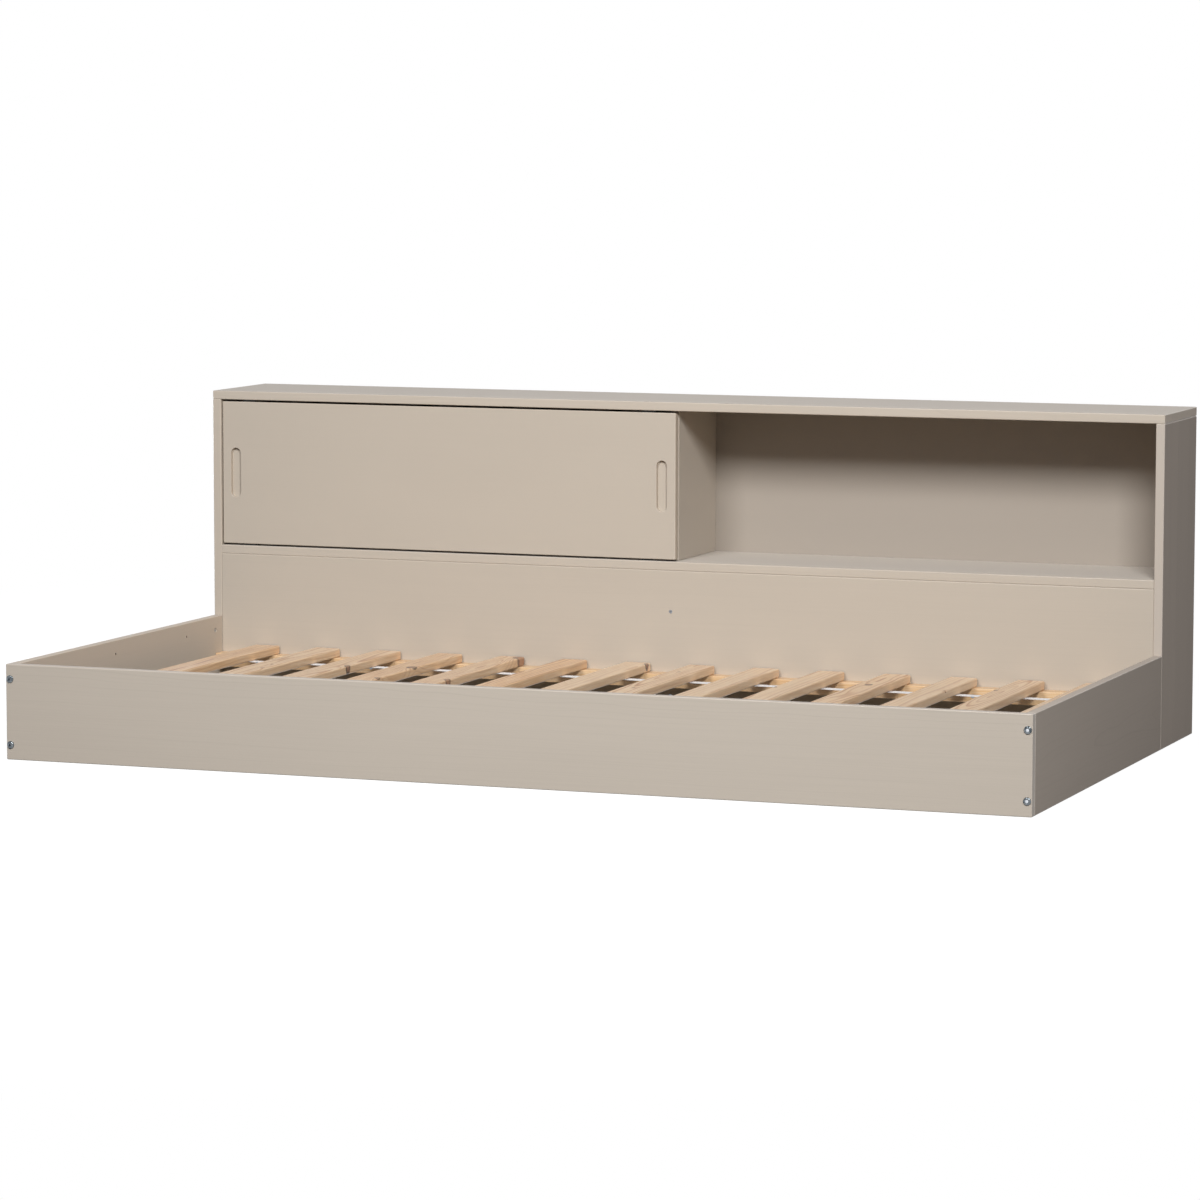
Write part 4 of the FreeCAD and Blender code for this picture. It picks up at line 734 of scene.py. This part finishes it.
def weave_tape(name, middle):
    """Make one tape from a flat grid that gets its dips, its thickness and its firm edges."""
    bpy.ops.mesh.primitive_grid_add(x_subdivisions=TAPE_STEPS_ALONG,
                                    y_subdivisions=TAPE_STEPS_ACROSS, size=1.0,
                                    location=(0.0, 0.0, 0.0))
    tape = bpy.context.active_object
    tape.name = name
    bpy.ops.object.mode_set(mode="EDIT")
    bpy.ops.transform.resize(value=(TAPE_LENGTH, TAPE_WIDTH, 1.0))
    bpy.ops.transform.translate(value=(0.0, middle, TAPE_LEVEL))
    for reach, drop in TAPE_SAGS:
        bpy.ops.mesh.select_all(action="DESELECT")
        bpy.ops.object.mode_set(mode="OBJECT")
        for vertex in tape.data.vertices:
            step = (vertex.co.x / SLAT_RUN + 0.5) * SLAT_GAPS
            from_gap = abs(step - math.floor(step) - 0.5) * SLAT_RUN / SLAT_GAPS
            vertex.select = from_gap < reach and abs(vertex.co.x) < SLAT_RUN / 2.0
        bpy.ops.object.mode_set(mode="EDIT")
        bpy.ops.transform.translate(value=(0.0, 0.0, drop))
    bpy.ops.object.mode_set(mode="OBJECT")
    for kind, settings in (
            ("SOLIDIFY", {"thickness": TAPE_THICKNESS, "offset": 0.0}),
            ("BEVEL", {"width": TAPE_EDGE, "segments": 2, "limit_method": "ANGLE"}),
            ("SMOOTH", {"factor": 0.5, "iterations": 3, "use_x": False, "use_y": False})):
        modifier = tape.modifiers.new(kind.lower(), kind)
        for label, value in settings.items():
            setattr(modifier, label, value)
        bpy.ops.object.modifier_apply(modifier=modifier.name)
    bpy.ops.object.shade_smooth_by_angle(angle=math.radians(TAPE_CREASE_ANGLE))
    return tape


webbing, tree, shader = new_finish("white_webbing")
along, across = split(tree, tree.nodes.new("ShaderNodeTexCoord").outputs["Object"])[:2]
warp = calc(tree, "MULTIPLY", across, math.pi / WARP_PITCH)
weft = calc(tree, "MULTIPLY", along, math.pi / WEFT_PITCH)
warp_thread = calc(tree, "ABSOLUTE", calc(tree, "SINE", warp))
weft_thread = calc(tree, "ABSOLUTE", calc(tree, "SINE", weft))
over = ease(tree, calc(tree, "MULTIPLY", calc(tree, "SINE", warp), calc(tree, "SINE", weft)),
            -0.15, 0.15)
threads = add_share(tree, calc(tree, "MULTIPLY", over, warp_thread),
                    calc(tree, "SUBTRACT", 1.0, over), weft_thread)
fuzz = cloud(tree, tree.nodes.new("ShaderNodeTexCoord").outputs["Object"], FUZZ_SCALE, 3.0)["Fac"]
raised = add_share(tree, threads, fuzz, 0.2)
# The hollows between the threads are darker: painted shade.
colour = tint(tree, ease(tree, threads, 0.0, 0.55), WEBBING_PAINTED_HOLLOW_SHADE, WEBBING)
colour = tint(tree, ease(tree, fuzz, 0.45, 0.75, 0.0, 0.3), colour, WEBBING_FUZZ)
tree.links.new(colour, shader.inputs["Base Color"])
feed(tree, shader.inputs["Roughness"],
     calc(tree, "SUBTRACT", 0.85, calc(tree, "MULTIPLY", threads, 0.15)))
shader.inputs["Sheen Weight"].default_value = WEBBING_SHEEN
raise_surface(tree, shader, raised, WEBBING_RELIEF)
for node, middle in TAPE_MIDDLES.items():
    tape = weave_tape("webbing_" + node, middle)
    tape.data.materials.append(webbing)
    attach(tape, "frame")
    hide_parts(node)


# Bolts, nuts, studs, screws, staples and cams. Steel, bright zinc plated with a bluish tinge that
# differs from patch to patch, and cast zinc. Fine lines from drawing and turning stay. The bolts'
# plating is set dark, a painted reflection of a dark room, and the sockets of the two at the
# right-hand corner get a pale painted highlight.
BOLT_X = 1.016
BOLT_MIDDLE_Z = 0.093
BOLT_HALF_PITCH = 0.064
SOCKET_RADIUS = 0.0030
SOCKET_FLOOR = 0.9
# Pale colour in the right-hand bolts' sockets: a painted highlight.
PAINTED_SOCKET_HIGHLIGHT = (0.70, 0.73, 0.77, 1.0)
MOTTLE_SCALE = (160.0, 160.0, 160.0)
GRIT_SCALE = (1800.0, 1800.0, 1800.0)
SCRATCH_SCALE = (90.0, 2600.0, 2600.0)
METAL_RELIEF = 0.00003
# Dark plating for the bolts: a painted reflection of a dark room.
BOLT_METAL_PAINTED_DARK = {"base": (0.200, 0.220, 0.235, 1.0), "tinge": (0.050, 0.062, 0.074, 1.0),
              "roughness": 0.05, "seed": 7.0}
STEEL_METAL = {"base": (0.46, 0.49, 0.53, 1.0), "tinge": (0.34, 0.39, 0.46, 1.0),
               "roughness": 0.22, "seed": 5.0}
CAM_METAL = {"base": (0.40, 0.40, 0.41, 1.0), "tinge": (0.30, 0.30, 0.31, 1.0),
             "roughness": 0.42, "seed": 9.0}


def plate(name, base, tinge, roughness, seed):
    """Make a plated or cast metal that is mottled and lightly scratched."""
    material, tree, shader = new_finish(name)
    place = tree.nodes.new("ShaderNodeTexCoord").outputs["Object"]
    mottle = cloud(tree, place, MOTTLE_SCALE, seed, 3.0)["Fac"]
    grit = cloud(tree, place, GRIT_SCALE, seed, 2.0)["Fac"]
    scratch = cloud(tree, place, SCRATCH_SCALE, seed, 2.0)["Fac"]
    colour = tint(tree, ease(tree, mottle, 0.35, 0.70), base, tinge)
    tree.links.new(colour, shader.inputs["Base Color"])
    shader.inputs["Metallic"].default_value = 1.0
    feed(tree, shader.inputs["Roughness"], add_share(tree, roughness, mottle, 0.16))
    raised = add_share(tree, calc(tree, "MULTIPLY", grit, 0.5), scratch, 0.5)
    raise_surface(tree, shader, raised, METAL_RELIEF)
    return material


# The bolts' dark plating is a painted reflection of a dark room.
bolt_plate = plate("blue_zinc_painted_dark_reflection", **BOLT_METAL_PAINTED_DARK)
tree = bolt_plate.node_tree
shader = tree.nodes["Principled BSDF"]
x, _, z = split(tree, tree.nodes.new("ShaderNodeTexCoord").outputs["Object"])
from_axis = calc_place(tree, "LENGTH", join(
    tree, calc(tree, "SUBTRACT", x, BOLT_X),
    calc(tree, "SUBTRACT", calc(tree, "ABSOLUTE", calc(tree, "SUBTRACT", z, BOLT_MIDDLE_Z)),
         BOLT_HALF_PITCH), 0.0))
# Within the socket radius the plating turns pale: a painted highlight.
painted_highlight_in_socket = ease(tree, from_axis, SOCKET_RADIUS, SOCKET_FLOOR * SOCKET_RADIUS)
plated = shader.inputs["Base Color"].links[0].from_socket
tree.links.new(tint(tree, painted_highlight_in_socket, plated, PAINTED_SOCKET_HIGHLIGHT), shader.inputs["Base Color"])
dress("front_bolts", bolt_plate)
zinc_plate = plate("zinc_plated_steel", **STEEL_METAL)
for node in ("rear_studs", "front_barrel_nuts", "rear_barrel_nuts",
             "front_ledger_screws", "back_ledger_screws", "panel_screws", "divider_screws",
             "back_panel_screws", "tape_staples", "cam_bolts"):
    dress(node, zinc_plate)
dress("cam_locks", plate("cast_zinc", **CAM_METAL))


# Dowels. Turned beech with pressed flutes: pale pinkish wood with short dark flecks along the
# grain, glued dry into the boards.
BEECH_DARK = (0.66, 0.45, 0.27, 1.0)
BEECH_PALE = (0.72, 0.52, 0.33, 1.0)
BEECH_FLECK = (0.42, 0.24, 0.12, 1.0)
FLECK_SCALE = (500.0, 500.0, 160.0)
BEECH_SCALE = (40.0, 40.0, 40.0)
BEECH_RELIEF = 0.0001
beech, tree, shader = new_finish("beech")
place = tree.nodes.new("ShaderNodeTexCoord").outputs["Object"]
fleck = cloud(tree, place, FLECK_SCALE, 4.0, 2.0)["Fac"]
patch = cloud(tree, place, BEECH_SCALE, 6.0)["Fac"]
colour = tint(tree, ease(tree, patch, 0.3, 0.7), BEECH_DARK, BEECH_PALE)
colour = tint(tree, ease(tree, fleck, 0.55, 0.70, 0.0, 0.6), colour, BEECH_FLECK)
tree.links.new(colour, shader.inputs["Base Color"])
feed(tree, shader.inputs["Roughness"], add_share(tree, 0.50, fleck, 0.2))
raise_surface(tree, shader, fleck, BEECH_RELIEF)
dress("cabinet_dowels", beech)


# Glides and guides of the door. Black nylon, moulded, set into the door's lower and upper edge:
# a fine moulded surface that is a little waxy and rubbed greyer in patches.
NYLON = (0.008, 0.008, 0.009, 1.0)
NYLON_RUBBED = (0.022, 0.022, 0.023, 1.0)
NYLON_SHINE = 0.35
NYLON_RELIEF = 0.00004
RUBBED_SCALE = (60.0, 240.0, 240.0)
MOULDED_SCALE = (2200.0, 2200.0, 2200.0)
nylon, tree, shader = new_finish("nylon")
place = tree.nodes.new("ShaderNodeTexCoord").outputs["Object"]
rubbed = cloud(tree, place, RUBBED_SCALE, 2.0)["Fac"]
moulded = cloud(tree, place, MOULDED_SCALE, 2.0, 1.0)["Fac"]
tree.links.new(tint(tree, ease(tree, rubbed, 0.40, 0.75), NYLON, NYLON_RUBBED),
               shader.inputs["Base Color"])
feed(tree, shader.inputs["Roughness"],
     calc(tree, "SUBTRACT", 0.50, calc(tree, "MULTIPLY", rubbed, 0.15)))
shader.inputs["Specular IOR Level"].default_value = NYLON_SHINE
raise_surface(tree, shader, moulded, NYLON_RELIEF)
dress("door_glides", nylon)
dress("door_guides", nylon)
